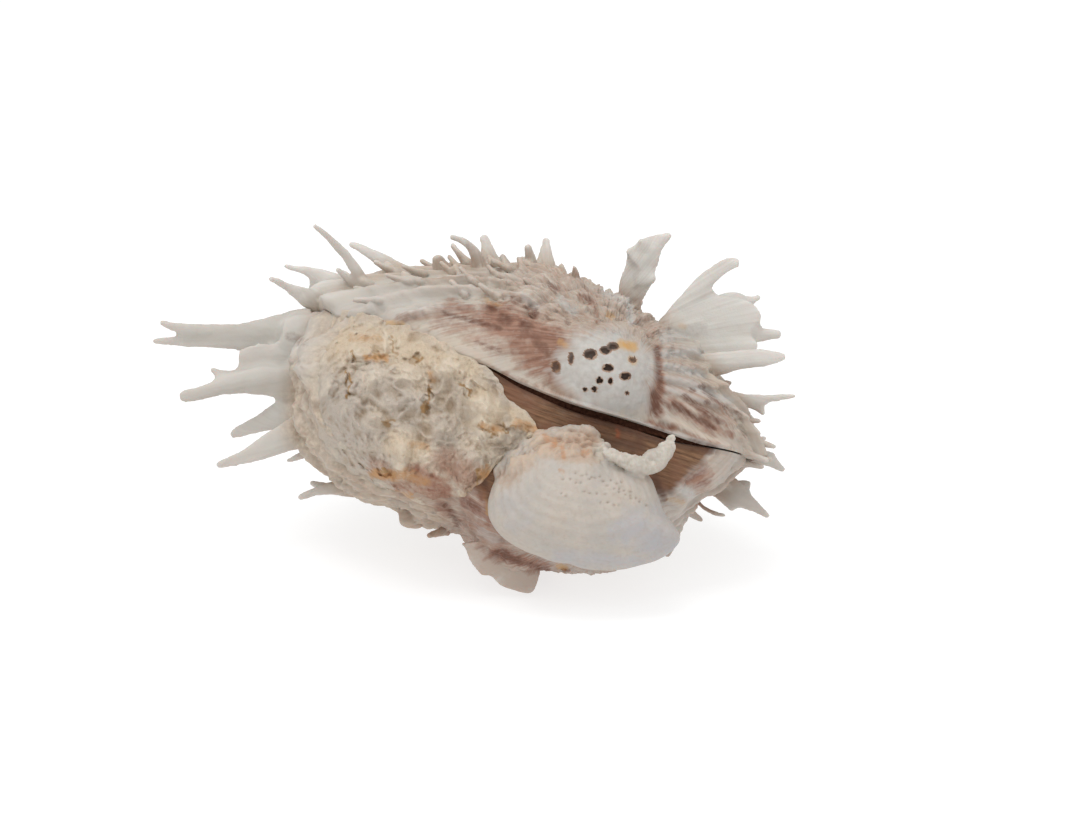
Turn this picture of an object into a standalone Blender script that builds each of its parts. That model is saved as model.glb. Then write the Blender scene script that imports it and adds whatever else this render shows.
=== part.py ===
"""A closed spiny oyster shell, seen and described from its hinge.

Sizes are in millimetres until a mesh is made. Three frames are used:
  shell   x along the hinge, y from the hinge towards the far edge, z towards the upper valve
  upright the shell rolled about y, as it looks from straight in front of the hinge
  resting the upright frame leaned back, +Z up, where the objects stand
"""

import math

import bmesh
import bpy
import numpy as np
from mathutils import Matrix, Vector, noise

MM = 0.001

# How the shell lies: its right end is lower, and its far edge is lower than its hinge.
ROLL = math.radians(19)
LEAN = math.radians(15)
FOOT = Vector((26.25, -33.35, 37.0))  # moves the middle of the base to the origin

# The outline in plan, cut off straight along the hinge and slanting away to the left.
PLAN_RADIUS = 44.0
PLAN_MIDDLE_Y = 34.0
PLAN_SKEW = 0.36
HINGE_MIDDLE_X = -2.0
HINGE_Y = -1.0
HEART = np.array([HINGE_MIDDLE_X - PLAN_SKEW * PLAN_MIDDLE_Y, PLAN_MIDDLE_Y, 0.0])

UPPER_HEIGHT = 22.3
UPPER_WALL_LEAN = 0.25
UPPER_BEAK = np.array([-2.0, 8.0, 5.0])
UPPER_BEAK_RADII = np.array([13.0, 13.0, 10.5])

LOWER_DEPTH = 29.0
RIGHT_LIMIT, RIGHT_LEAN = 30.0, 0.42  # the bowl's right side slopes in as it goes down
CARDINAL_LEAN = 0.30  # the flat face under the hinge comes forward as it goes down
LOWER_BEAK = np.array([-4.0, 12.0, -18.0])
LOWER_BEAK_RADII = np.array([24.0, 26.0, 16.0])
KEEL = np.array([-26.0, 24.0, -20.0])
KEEL_RADII = np.array([23.0, 24.0, 16.0])
LEFT_BULGE = np.array([-36.0, 28.0, -14.0])
LEFT_BULGE_RADII = np.array([23.0, 28.0, 18.5])

VALVE_GAP = 0.15  # each valve keeps this far from the seam
NODE_GAP = 0.35
SEAM_DIP = math.radians(3.2)  # the slot that the ligament shows in
THICK_AT_BEAK, THICK_AT_EDGE = 7.0, 4.2
RIBS = 28
RIB_HEIGHT = 0.55
LUMP_HEIGHT, LUMP_LENGTH = 1.1, 17.0

UPPER_COLOUR = (0.42, 0.31, 0.26)
LOWER_COLOUR = (0.40, 0.33, 0.29)
CRUST_COLOUR = (0.52, 0.42, 0.31)
ATTACHED_COLOUR = (0.58, 0.54, 0.50)
LIGAMENT_COLOUR = (0.03, 0.012, 0.008)

SPOKES = 2 * RIBS
OUTER_RINGS, INNER_RINGS = 12, 3
RING_CROWDING = 1.25  # above 1, the rings are closer together near the beak
LONGEST_REACH = 95.0
HALVINGS = 26

UPPER, LOWER = 1, -1
BEAK_IN_PLAN = {UPPER: np.array([0.06, -0.84]), LOWER: np.array([0.05, -0.72])}


def soft_most(a, b, soft):
    """The larger of a and b, rounded over where they come within soft of each other."""
    share = np.clip(0.5 + 0.5 * (a - b) / soft, 0, 1)
    return b + (a - b) * share + soft * share * (1 - share)


def soft_least(a, b, soft):
    return -soft_most(-a, -b, soft)


def smooth_step(value, start, end):
    share = np.clip((value - start) / (end - start), 0, 1)
    return share * share * (3 - 2 * share)


def lobe(p, centre, radii):
    """Above 0 inside an ellipsoid, and below 0 outside it."""
    return 1 - (((p - centre) / radii) ** 2).sum(-1)


def plan_room(p):
    """1 at the middle of the outline in plan, 0 on the outline, below 0 outside it."""
    across = p[..., 0] - HINGE_MIDDLE_X + PLAN_SKEW * p[..., 1]
    along = p[..., 1] - PLAN_MIDDLE_Y
    return 1 - (across**2 + along**2) / PLAN_RADIUS**2


def upper_room(p):
    """Above 0 inside the upper valve's outer form: a low dome with a beak over the hinge."""
    dome = plan_room(p) - (np.abs(p[..., 2]) / UPPER_HEIGHT) ** 1.25
    wall = (p[..., 1] - HINGE_Y - UPPER_WALL_LEAN * p[..., 2]) / 12
    beak = lobe(p, UPPER_BEAK, UPPER_BEAK_RADII)
    return soft_most(soft_least(dome, wall, 0.12), beak, 0.25)


def lower_room(p):
    """Above 0 inside the lower valve's outer form: a deep bowl, fuller to the left and in front."""
    depth = np.abs(p[..., 2])
    bowl = plan_room(p) - (depth / LOWER_DEPTH) ** 2.2
    bowl = soft_most(bowl, lobe(p, LEFT_BULGE, LEFT_BULGE_RADII), 0.2)
    bowl = soft_most(bowl, lobe(p, LOWER_BEAK, LOWER_BEAK_RADII), 0.2)
    bowl = soft_most(bowl, lobe(p, KEEL, KEEL_RADII), 0.2)
    right = (RIGHT_LIMIT - RIGHT_LEAN * depth - p[..., 0]) / 12
    bowl = soft_least(bowl, right, 0.3)
    cardinal = (p[..., 1] - HINGE_Y + CARDINAL_LEAN * depth) / 12
    return soft_least(bowl, cardinal, 0.1)


ROOM = {UPPER: upper_room, LOWER: lower_room}


def reach(room, ways):
    """How far the surface lies along each way from the heart of the shell."""
    near = np.zeros(len(ways))
    far = np.full(len(ways), LONGEST_REACH)
    for _ in range(HALVINGS):
        middle = (near + far) / 2
        inside = room(HEART + ways * middle[:, None]) > 0
        near, far = np.where(inside, middle, near), np.where(inside, far, middle)
    return near


def front_of(room, x, z):
    """The depth in the upright frame at which a line of sight at (x, z) meets the surface."""
    outside = np.full(len(x), -45.0)
    inside = np.full(len(x), PLAN_MIDDLE_Y)
    for _ in range(HALVINGS):
        middle = (outside + inside) / 2
        hit = room(to_shell(np.stack([x, middle, z], axis=1))) > 0
        outside, inside = np.where(hit, outside, middle), np.where(hit, middle, inside)
    return inside


def to_upright(p):
    c, s = math.cos(ROLL), math.sin(ROLL)
    return np.stack([p[:, 0] * c + p[:, 2] * s, p[:, 1], p[:, 2] * c - p[:, 0] * s], axis=1)


def to_shell(p):
    c, s = math.cos(ROLL), math.sin(ROLL)
    return np.stack([p[:, 0] * c - p[:, 2] * s, p[:, 1], p[:, 2] * c + p[:, 0] * s], axis=1)


def hinge_share(turn):
    """1 in the middle of the hinge, fading to 0 at its ends. turn is the angle in plan."""
    off = np.abs(np.angle(np.exp(1j * (turn + math.pi / 2))))
    return 1 - smooth_step(off, math.radians(22), math.radians(36))


def ways_of(side, turn, out):
    """Unit ways from the heart to the points that lie out of the way along a valve's spoke.

    A spoke runs in plan from the beak to the edge at the angle turn, as the ribs do.
    """
    edge = np.stack([np.cos(turn), np.sin(turn)], axis=1)
    beak = BEAK_IN_PLAN[side]
    flat = beak + (edge - beak) * out[:, None]
    radius = np.hypot(flat[:, 0], flat[:, 1])
    around = np.arctan2(flat[:, 1], flat[:, 0])
    dip = SEAM_DIP * hinge_share(around) if side == LOWER else 0.0
    polar = radius * (math.pi / 2 - dip)
    plan_x = np.sin(polar) * np.cos(around)
    plan_y = np.sin(polar) * np.sin(around)
    ways = np.stack([plan_x - PLAN_SKEW * plan_y, plan_y, side * np.cos(polar)], axis=1)
    return ways / np.linalg.norm(ways, axis=1)[:, None]


def lumps(points):
    return np.array([noise.noise(Vector(p) / LUMP_LENGTH) for p in points]) * LUMP_HEIGHT


def outer_points(side, turn, out, grow=0.0):
    """Points of a valve's outside in the shell frame, with its ribs and its broad lumps."""
    ways = ways_of(side, turn, out)
    far = reach(ROOM[side], ways)
    plain = HEART + ways * far[:, None]
    behind = smooth_step(plain[:, 1], 1.0, 9.0)
    ribs = RIB_HEIGHT * np.cos(RIBS * turn) * behind * smooth_step(out, 0.15, 0.6)
    settled = behind * (1 - smooth_step(out, 0.9, 1.0))
    far = far + ribs + lumps(plain) * settled + grow
    return HEART + ways * far[:, None]


def upright(mesh_parts):
    """The same mesh, moved from the shell frame to the upright one."""
    points, faces = mesh_parts
    return to_upright(points), faces


def valve_mesh(side, grow=0.0, solid=False):
    """A hollow valve: an outside, an inside and the edge that joins them at the seam."""
    turn = np.arange(SPOKES) * 2 * math.pi / SPOKES
    rings = []
    for ring in range(1, OUTER_RINGS + 1):
        out = np.full(SPOKES, (ring / OUTER_RINGS) ** RING_CROWDING)
        rings.append(outer_points(side, turn, out, grow))
    if solid:
        points = [outer_points(side, np.zeros(1), np.zeros(1), grow)[0]]
        points += [p for ring in rings for p in ring]
        return closed_fan(points + [HEART], len(rings), SPOKES, flip=side == LOWER)
    for ring in range(INNER_RINGS, 0, -1):
        out = np.full(SPOKES, (ring / INNER_RINGS) ** RING_CROWDING)
        thick = THICK_AT_BEAK + (THICK_AT_EDGE - THICK_AT_BEAK) * out[0]
        ways = ways_of(side, turn, out)
        rings.append(HEART + ways * (reach(ROOM[side], ways) - thick)[:, None])
    nought = np.zeros(1)
    beak = outer_points(side, nought, nought, grow)[0]
    way = ways_of(side, nought, nought)
    hollow = (HEART + way * (reach(ROOM[side], way) - THICK_AT_BEAK)[:, None])[0]
    lift = np.array([0, 0, side * (VALVE_GAP - grow / 2)])
    points = [beak + lift]
    points += [p + lift for ring in rings for p in ring]
    points.append(hollow + lift)
    return closed_fan(points, len(rings), SPOKES, flip=side == LOWER)


def closed_fan(points, rings, around, flip=False):
    """Faces over a first pole, rings of points and a last pole."""
    faces = []
    last = len(points) - 1
    for i in range(around):
        j = (i + 1) % around
        faces.append((0, 1 + i, 1 + j))
        for ring in range(rings - 1):
            a, b = 1 + ring * around, 1 + (ring + 1) * around
            faces.append((a + i, b + i, b + j, a + j))
        a = 1 + (rings - 1) * around
        faces.append((a + i, last, a + j))
    if flip:
        faces = [face[::-1] for face in faces]
    return np.array(points), faces


PRONG_DEPTH_IN_WALL = 3.2


def strand(path, widths, flatness, face, sides=6):
    """A flattened round bar through the points of a path, closed to a low cone at each end."""
    path = np.array(path, float)
    along = np.gradient(path, axis=0)
    along /= np.linalg.norm(along, axis=1)[:, None]
    across = np.cross(along, np.array(face, float))
    across /= np.linalg.norm(across, axis=1)[:, None]
    depth = np.cross(across, along)
    angles = np.arange(sides) * 2 * math.pi / sides
    points = [path[0] - along[0] * 0.2]
    for centre, side, deep, width in zip(path, across, depth, widths):
        thick = max(width * flatness, 0.5)
        for angle in angles:
            points.append(
                centre + side * width / 2 * math.cos(angle) + deep * thick / 2 * math.sin(angle)
            )
    points.append(path[-1] + along[-1] * 0.2)
    return closed_fan(points, len(path), sides)


def way_in(room, tip, aim):
    """The share of the way from tip to aim at which the line enters the shell, or 1."""
    outside, inside = 0.0, 1.0
    for _ in range(HALVINGS):
        middle = (outside + inside) / 2
        if room(to_shell((tip + (aim - tip) * middle)[None]))[0] > 0:
            inside = middle
        else:
            outside = middle
    return inside


def prong(room, aim, tip, widths, bow=0.0, flatness=0.42, face=(0, -1, 0), rings=4, sides=6):
    """A tapering spine in the upright frame, from just inside a valve's wall to its tip.

    It points from aim, inside the shell, to tip. A barb's aim is inside another spine, where
    it starts. widths are its widths at the root, halfway and at the tip, and bow moves its
    middle sideways by a share of its length.
    """
    aim, tip = np.array(aim, float), np.array(tip, float)
    root = tip + (aim - tip) * way_in(room, tip, aim)
    out = tip - root
    length = np.linalg.norm(out)
    if room(to_shell(aim[None]))[0] > 0:
        root = root - out / length * PRONG_DEPTH_IN_WALL
    t = np.linspace(0, 1, rings)
    start, middle, end = widths
    width = start * (1 - t) * (1 - 2 * t) + 4 * middle * t * (1 - t) + end * t * (2 * t - 1)
    sideways = np.cross(out / length, np.array(face, float))
    bend = sideways * bow * length
    path = root + (tip - root) * t[:, None] + bend * (4 * t * (1 - t))[:, None]
    return strand(path, np.maximum(width, min(widths)), flatness, face, sides)


# Spines that show round the edge from in front of the hinge: (x, y, z) of root and tip in
# the upright frame, and widths at the root, halfway and at the tip. A fork is two spines
# that share a root.
UPPER_EDGE_SPINES = {
    "far_left_low": ((-54.5, 42, 19.5), (-67.4, 36, 25.6), (6.5, 2.6, 0.7), -0.06),
    "far_left_mid": ((-51.0, 45, 21.5), (-64.6, 45, 28.6), (7.0, 3.2, 0.7), 0.08),
    "left_long": ((-44.0, 40, 20.0), (-59.0, 32, 37.0), (9.0, 4.4, 0.6), 0.02),
    "left_hooked": ((-35.5, 44, 22.5), (-53.0, 48, 33.0), (9.0, 4.4, 0.9), 0.09),
    "top_left_stub": ((-28.5, 37, 23.5), (-34.0, 34, 30.2), (7.5, 4.0, 2.6), 0.03),
    "top_left_hook": ((-22.5, 34, 22.5), (-31.2, 28, 34.0), (6.0, 2.6, 0.8), 0.14),
    "top_left": ((-19.5, 38, 22.0), (-24.4, 42, 34.8), (7.0, 3.8, 1.4), 0.03),
    "top_fork_left": ((-13.0, 36, 22.5), (-15.4, 32, 33.2), (5.5, 3.2, 1.3), 0.03),
    "top_fork_right": ((-11.5, 36, 22.5), (-11.4, 38, 34.0), (7.0, 4.0, 1.7), 0.0),
    "top_small": ((-5.4, 30, 20.5), (-5.8, 26, 28.4), (3.8, 2.2, 0.6), 0.0),
    "flag": ((3.6, 28, 15.0), (13.6, 24, 34.8), (8.0, 8.6, 0.9), -0.05),
    "flag_shoulder": ((4.8, 28, 17.0), (5.8, 26, 31.4), (4.6, 3.8, 1.6), 0.0),
    "fan_finger": ((10.0, 24, 12.0), (27.4, 20, 28.4), (9.0, 4.6, 2.8), -0.08),
    "fan_top": ((15.5, 26, 11.5), (31.8, 30, 22.0), (10.0, 8.6, 0.9), 0.0),
    "fan_web": ((15.0, 26, 9.0), (31.6, 27, 19.0), (10.0, 9.6, 4.0), 0.0, 0.2),
    "fan_side": ((17.0, 24, 9.5), (36.0, 24, 15.2), (9.0, 7.4, 1.3), 0.02),
    "right_finger": ((18.0, 20, 6.0), (36.6, 12, 10.2), (6.5, 3.8, 1.8), 0.0),
    "right_long": ((22.0, 24, 1.6), (38.8, 20, 2.0), (5.0, 2.8, 0.6), -0.02),
    "right_long_barb": ((26.0, 23, 0.8), (32.2, 22, -1.2), (3.0, 1.4, 0.5), 0.0),
    "right_stub": ((16.0, 28, -1.0), (34.4, 32, -9.4), (4.4, 2.8, 1.2), 0.0),
    "right_thin": ((26.0, 30, -4.2), (33.4, 33, -6.6), (3.0, 1.2, 0.5), 0.0),
}
LOWER_EDGE_SPINES = {
    "big_left_high": ((-56.0, 40, 13.5), (-89.8, 37, 17.2), (11.0, 4.6, 1.1), 0.0),
    "big_left_low": ((-56.0, 39, 11.5), (-91.3, 41, 13.4), (11.0, 4.2, 0.9), 0.0),
    "left_web_high": ((-50.0, 38, 9.0), (-74.0, 36, 10.4), (19.0, 14.0, 7.0), 0.0, 0.2),
    "left_web_low": ((-50.0, 36, 1.0), (-67.6, 34, 1.4), (17.0, 12.0, 5.0), 0.0, 0.24),
    "left_main": ((-56.0, 35, 8.0), (-86.0, 30, 1.2), (12.0, 6.4, 1.4), 0.0),
    "left_main_barb": ((-64.0, 34, 4.6), (-79.2, 33, 7.6), (6.0, 2.4, 0.6), 0.02),
    "left_stub": ((-58.0, 34, 0.4), (-75.0, 40, -5.4), (7.5, 3.6, 1.9), 0.0),
    "left_low": ((-56.5, 30, -3.6), (-78.6, 26, -11.6), (8.5, 4.6, 1.2), 0.03),
    "left_small": ((-53.0, 32, -6.6), (-64.0, 36, -10.4), (5.0, 1.8, 0.6), 0.0),
    "low_left": ((-48.0, 28, -14.8), (-62.0, 26, -18.0), (6.0, 2.4, 0.7), -0.05),
    "low_left_barb": ((-51.0, 28, -14.8), (-59.2, 30, -14.8), (4.0, 1.8, 0.6), 0.08),
    "low_nub": ((-37.0, 22, -14.0), (-39.4, 18, -24.8), (8.0, 6.0, 4.0), 0.0),
    "low_hook": ((-27.0, 18, -22.0), (-36.0, 12, -26.2), (4.4, 1.8, 0.7), -0.06),
    "flap": ((-18.0, 10, -20.0), (-18.6, 3, -36.9), (19.0, 15.5, 6.0), -0.01, 0.3),
    "low_tooth_a": ((-7.6, 6, -29.5), (-7.8, 2, -33.8), (4.0, 2.4, 0.8), 0.0),
    "low_tooth_b": ((-2.6, 9, -28.5), (-3.2, 6, -33.2), (4.8, 3.2, 1.4), 0.0),
    "low_right_tooth": ((9.0, 22, -20.0), (12.8, 20, -30.3), (5.0, 3.0, 0.8), 0.0),
    "hair_right": ((12.0, 20, -14.0), (24.6, 16, -22.0), (2.4, 1.0, 0.5), -0.10),
    "low_right_main": ((14.0, 24, -8.5), (33.2, 18, -22.0), (9.0, 5.4, 0.8), 0.0),
    "low_right_up": ((18.0, 24, -9.5), (30.0, 24, -15.4), (6.0, 3.0, 0.7), 0.0),
    "low_right_down": ((20.0, 21, -14.0), (26.0, 18, -20.6), (5.0, 2.6, 0.7), 0.0),
    "right_main": ((16.0, 26, -7.0), (36.2, 28, -13.0), (6.4, 3.6, 0.7), 0.0),
}


# Spines that stand behind, out of sight from in front of the hinge, in rows across the ribs:
# how far out along the ribs, the first and last angle in plan, how many, and their length.
UPPER_ROWS = [(0.58, 40, 150, 4, 8.0), (0.78, 25, 160, 6, 12.0), (0.96, 20, 165, 9, 17.0)]
LOWER_ROWS = [(0.62, 50, 150, 4, 7.0), (0.80, 30, 160, 5, 10.0), (0.96, 25, 160, 8, 16.0)]
ROW_JITTER = 0.25
SHORTEST_SPINE = 4.0
SEED = 7

# The three points that the shell rests on: one flap in front and two spines behind.
GROUND = -36.5
SPINE_CLEARANCE = 2.0
SUPPORTS = {
    "left": ((-36, 42, -4), (-40, 60), (9, 5, 2)),
    "right": ((2, 40, -4), (10, 60), (8, 4.6, 2)),
}


def ground_z(y):
    """The height in the upright frame of the surface that the shell rests on."""
    return (GROUND + math.sin(LEAN) * y) / math.cos(LEAN)


def hidden(point):
    """Whether a point behind the shell is clear of the ground and covered from in front."""
    x, y, z = point
    if z < ground_z(y) + SPINE_CLEARANCE:
        return False
    middle = to_shell(np.array([[x, PLAN_MIDDLE_Y, z]]))
    side = UPPER if middle[0, 2] > 0 else LOWER
    return y > PLAN_MIDDLE_Y and ROOM[side](middle)[0] > 0.06


def row_spines(side, rows, rng):
    """The rows of spines behind, cut short where they would show from in front."""
    room = ROOM[side]
    beak = HEART + ways_of(side, np.zeros(1), np.zeros(1))[0] * 30
    meshes = []
    for out, first, last, count, length in rows:
        for turn in np.radians(np.linspace(first, last, count)):
            turn = turn + rng.uniform(-1, 1) * math.radians(3)
            at = outer_points(side, np.array([turn]), np.array([out]))[0]
            away = (at - beak) * np.array([1, 1, 0])
            facing = (at - HEART) * np.array([1, 1, 1.6])
            way = away / np.linalg.norm(away) + 0.7 * facing / np.linalg.norm(facing)
            way = way + rng.uniform(-1, 1, 3) * ROW_JITTER
            way = to_upright((way / np.linalg.norm(way))[None])[0]
            foot = to_upright(at[None])[0]
            full = length * rng.uniform(0.75, 1.2)
            while full > SHORTEST_SPINE and not hidden(foot + way * full):
                full -= 1
            if full > SHORTEST_SPINE:
                widths = (2.6 + full * 0.18, 1.4 + full * 0.1, 0.8)
                ends = (foot - way * 4, foot + way * full)
                meshes.append(prong(room, *ends, widths, face=(0.2, -0.3, -1), rings=3, sides=5))
    return meshes


def join(meshes):
    """One list of points and one of faces for all of these meshes."""
    points, faces = [], []
    for some, more in meshes:
        faces += [tuple(i + len(points) for i in face) for face in more]
        points += [tuple(p) for p in some]
    return np.array(points), faces


# The crust's edges in the upright frame, as (x, z).
CRUST_TOP = [(-54, 13.6), (-47, 14.4), (-36, 11.6), (-24.2, 7.4)]
CRUST_RIGHT = [(-24.2, 7.4), (-18.5, 1.5), (-13.2, -4.6), (-20.0, -11.6), (-26.8, -18.6)]
CRUST_BOTTOM = [(-44.5, -16.0), (-39, -18.0), (-33, -19.4), (-26.8, -18.6)]
CRUST_LEFT = [(-54, 13.6), (-55.5, 6.0), (-54.0, -3.0), (-50.5, -10.5), (-44.5, -16.0)]
CRUST_ACROSS, CRUST_DOWN = 17, 13
CRUST_THICK, CRUST_EDGE, CRUST_ROUGH = 5.0, 2.7, 1.3
# Nodules on the crust: x, z, radius and height.
CRUST_NODULES = [
    (-47.4, 11.6, 4.2, 2.6),
    (-23.8, -0.8, 3.6, 2.2),
    (-40.0, -7.8, 4.5, 1.8),
    (-52.0, 4.0, 5.0, 1.5),
]


def along_edge(corners, share):
    """Points at equal shares along an edge given by its corners."""
    corners = np.array(corners, float)
    steps = np.linalg.norm(np.diff(corners, axis=0), axis=1)
    marks = np.concatenate([[0], np.cumsum(steps)]) / steps.sum()
    return np.stack([np.interp(share, marks, corners[:, k]) for k in (0, 1)], axis=1)


def crust_plan():
    """A grid of (x, z) between the crust's four edges, with each place's nearness to an edge."""
    u = np.linspace(0, 1, CRUST_ACROSS)
    v = np.linspace(0, 1, CRUST_DOWN)
    top, bottom = along_edge(CRUST_TOP, u), along_edge(CRUST_BOTTOM, u)
    left, right = along_edge(CRUST_LEFT, v), along_edge(CRUST_RIGHT, v)
    uu, vv = np.meshgrid(u, v)
    uu, vv = uu[..., None], vv[..., None]
    ruled = (1 - vv) * top[None] + vv * bottom[None]
    ruled = ruled + (1 - uu) * left[:, None] + uu * right[:, None]
    corners = (1 - uu) * (1 - vv) * top[0] + uu * (1 - vv) * top[-1]
    corners = corners + (1 - uu) * vv * bottom[0] + uu * vv * bottom[-1]
    inland = np.minimum(np.minimum(uu, 1 - uu) * 2, np.minimum(vv, 1 - vv) * 2)[..., 0]
    return ruled - corners, inland


def crust_mesh():
    """The rough crust: a slab whose face follows the lower valve, thicker and lumpy inland."""
    plan, inland = crust_plan()
    x, z = plan[..., 0].ravel(), plan[..., 1].ravel()
    base = front_of(lower_room, x, z)
    thick = CRUST_EDGE + (CRUST_THICK - CRUST_EDGE) * smooth_step(inland.ravel(), 0, 0.5)
    for at_x, at_z, radius, height in CRUST_NODULES:
        near = 1 - ((x - at_x) ** 2 + (z - at_z) ** 2) / radius**2
        thick = thick + height * np.clip(near, 0, 1) ** 0.7
    for i in range(len(x)):
        rough = noise.noise(Vector((x[i], base[i], z[i])) / 5.5)
        thick[i] += CRUST_ROUGH * rough * (0.3 + inland.ravel()[i])
    face = np.stack([x, base - thick, z], axis=1).reshape(plan.shape[0], plan.shape[1], 3)
    back = np.stack([x, base + 3.0, z], axis=1).reshape(face.shape)
    return slab(face, back)


def slab(face, back):
    """A closed solid between two grids of points."""
    down, across = face.shape[:2]
    points = np.concatenate([face.reshape(-1, 3), back.reshape(-1, 3)])
    number = np.arange(down * across).reshape(down, across)
    faces = []
    for i in range(down - 1):
        for j in range(across - 1):
            quad = (number[i, j], number[i + 1, j], number[i + 1, j + 1], number[i, j + 1])
            faces.append(quad)
            faces.append(tuple(q + down * across for q in quad[::-1]))
    rim = list(number[0, :-1]) + list(number[:-1, -1])
    rim += list(number[-1, :0:-1]) + list(number[:0:-1, 0])
    for a, b in zip(rim, rim[1:] + rim[:1]):
        faces.append((a, b, b + down * across, a + down * across))
    return points, faces


# The small shell that has grown on the flat face under the hinge: its outline in the
# upright frame as (x, z), from its left end over the top.
ATTACHED_OUTLINE = [
    (-23.0, -21.6), (-21.8, -16.6), (-19.6, -12.6), (-17.4, -10.8), (-14.8, -10.2), (-8.8, -11.0),
    (1.2, -12.6), (7.2, -12.6), (9.2, -14.2), (10.2, -16.6), (11.2, -19.6), (12.6, -22.6),
    (14.2, -24.6), (12.8, -28.6), (10.2, -29.8), (7.2, -31.0), (3.2, -32.0), (-0.8, -32.2),
    (-11.8, -29.8), (-16.8, -28.6), (-19.8, -26.6), (-21.8, -24.6),
]
ATTACHED_MIDDLE = (-5.0, -21.0)
ATTACHED_AROUND = 26
ATTACHED_HEIGHT = 9.5
ATTACHED_RIM_Y = -9.0
ATTACHED_RIM_LEAN = 0.15
ATTACHED_RIM_THICK = 4.5
# The knobs along its top: centre and radii.
KNOBS = [
    ((-9.4, -5.2, -7.2), (2.8, 3.0, 3.2)), ((-6.2, -5.8, -6.6), (2.8, 3.2, 2.6)),
    ((-3.4, -6.0, -8.4), (2.6, 3.0, 2.8)), ((-9.0, -7.4, -10.4), (4.2, 3.4, 2.8)),
    ((-3.0, -7.6, -11.2), (4.0, 3.0, 2.4)),
]
CURL = [(-2.0, -6.0, -9.8), (0.8, -7.6, -10.4), (4.0, -9.2, -12.0), (7.4, -10.4, -12.6),
        (10.6, -10.0, -11.0), (12.2, -8.4, -9.0), (13.2, -6.6, -7.2)]
CURL_WIDTHS = (2.4, 3.2, 3.4, 3.6, 3.4, 2.6, 1.2)


def attached_rim(angles):
    """The outline's (x, z) at angles round its middle."""
    outline = np.array(ATTACHED_OUTLINE) - ATTACHED_MIDDLE
    turns = np.arctan2(outline[:, 1], outline[:, 0])
    order = np.argsort(turns)
    size = np.hypot(outline[:, 0], outline[:, 1])[order]
    radius = np.interp(angles, turns[order], size, period=2 * math.pi)
    rim = np.stack([np.cos(angles), np.sin(angles)], axis=1) * radius[:, None]
    return rim + ATTACHED_MIDDLE


def attached_mesh():
    """A low dome on its rim, with a back that the larger shell cuts to fit."""
    angles = np.arange(ATTACHED_AROUND) * 2 * math.pi / ATTACHED_AROUND
    rim = attached_rim(angles)
    points = [(*ATTACHED_MIDDLE, 0.0)]
    rings = 6
    for ring in range(1, rings + 1):
        share = ring / rings
        for x, z in ATTACHED_MIDDLE + (rim - ATTACHED_MIDDLE) * share:
            points.append((x, z, share))
    solid = []
    for x, z, share in points:
        level = ATTACHED_RIM_Y + ATTACHED_RIM_LEAN * (z - ATTACHED_MIDDLE[1])
        solid.append((x, level - ATTACHED_HEIGHT * (1 - share**2.2) ** 0.62, z))
    behind = ATTACHED_RIM_Y + ATTACHED_RIM_THICK
    for x, z in rim:
        solid.append((x, behind + ATTACHED_RIM_LEAN * (z - ATTACHED_MIDDLE[1]), z))
    solid.append((ATTACHED_MIDDLE[0], behind, ATTACHED_MIDDLE[1]))
    return closed_fan(solid, rings + 1, ATTACHED_AROUND)


def ball(centre, radii, rings=4, around=8):
    """A closed egg shape in the upright frame."""
    points = [(0, 0, 1)]
    for ring in range(1, rings):
        polar = math.pi * ring / rings
        for k in range(around):
            turn = 2 * math.pi * k / around
            level = (math.sin(polar) * math.cos(turn), math.sin(polar) * math.sin(turn))
            points.append((*level, math.cos(polar)))
    points.append((0, 0, -1))
    return closed_fan(np.array(points) * radii + centre, rings - 1, around)


# The dark ligament in the slot along the hinge, in the shell frame.
LIGAMENT_LEFT, LIGAMENT_RIGHT = -19.0, 15.0
LIGAMENT_FRONT, LIGAMENT_BACK = -0.2, 3.4
LIGAMENT_TOP = -0.2
LIGAMENT_DROP = 1.15


def ligament_mesh():
    """A strip between the valves, thickest in the middle of the hinge."""
    stations = np.linspace(LIGAMENT_LEFT, LIGAMENT_RIGHT, 13)
    middle = (LIGAMENT_LEFT + LIGAMENT_RIGHT) / 2
    half = (LIGAMENT_RIGHT - LIGAMENT_LEFT) / 2
    face, back = [], []
    for x in stations:
        drop = LIGAMENT_DROP * (1 - 0.75 * abs((x - middle) / half) ** 2)
        face.append([(x, LIGAMENT_FRONT, LIGAMENT_TOP), (x, LIGAMENT_FRONT, LIGAMENT_TOP - drop)])
        back.append([(x, LIGAMENT_BACK, LIGAMENT_TOP), (x, LIGAMENT_BACK, LIGAMENT_TOP - drop)])
    points, faces = slab(np.array(face), np.array(back))
    return to_upright(points), faces


def make_object(name, mesh_parts, rest, colour=None, roughness=0.6):
    """A mesh object standing in the rest frame, with a material of its own if it has a colour."""
    points, faces = mesh_parts
    mesh = bpy.data.meshes.new(name)
    mesh.from_pydata([tuple(float(c) * MM for c in p) for p in points], [], faces)
    bm = bmesh.new()
    bm.from_mesh(mesh)
    bmesh.ops.triangulate(bm, faces=bm.faces)
    bmesh.ops.recalc_face_normals(bm, faces=bm.faces)
    bm.to_mesh(mesh)
    bm.free()
    obj = bpy.data.objects.new(name, mesh)
    bpy.context.scene.collection.objects.link(obj)
    obj.parent = rest
    if colour is None:
        obj.hide_render = True
        obj.display_type = "WIRE"
        return obj
    material = bpy.data.materials.new(name)
    material.use_nodes = True
    shader = material.node_tree.nodes["Principled BSDF"]
    shader.inputs["Base Color"].default_value = (*colour, 1.0)
    shader.inputs["Roughness"].default_value = roughness
    mesh.materials.append(material)
    return obj


def combine(obj, other, operation):
    """Union with another object, or a cut by it, that stays as a modifier."""
    step = obj.modifiers.new(other.name, "BOOLEAN")
    step.operation = operation
    step.solver = "EXACT"
    step.use_self = True
    step.object = other


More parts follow.
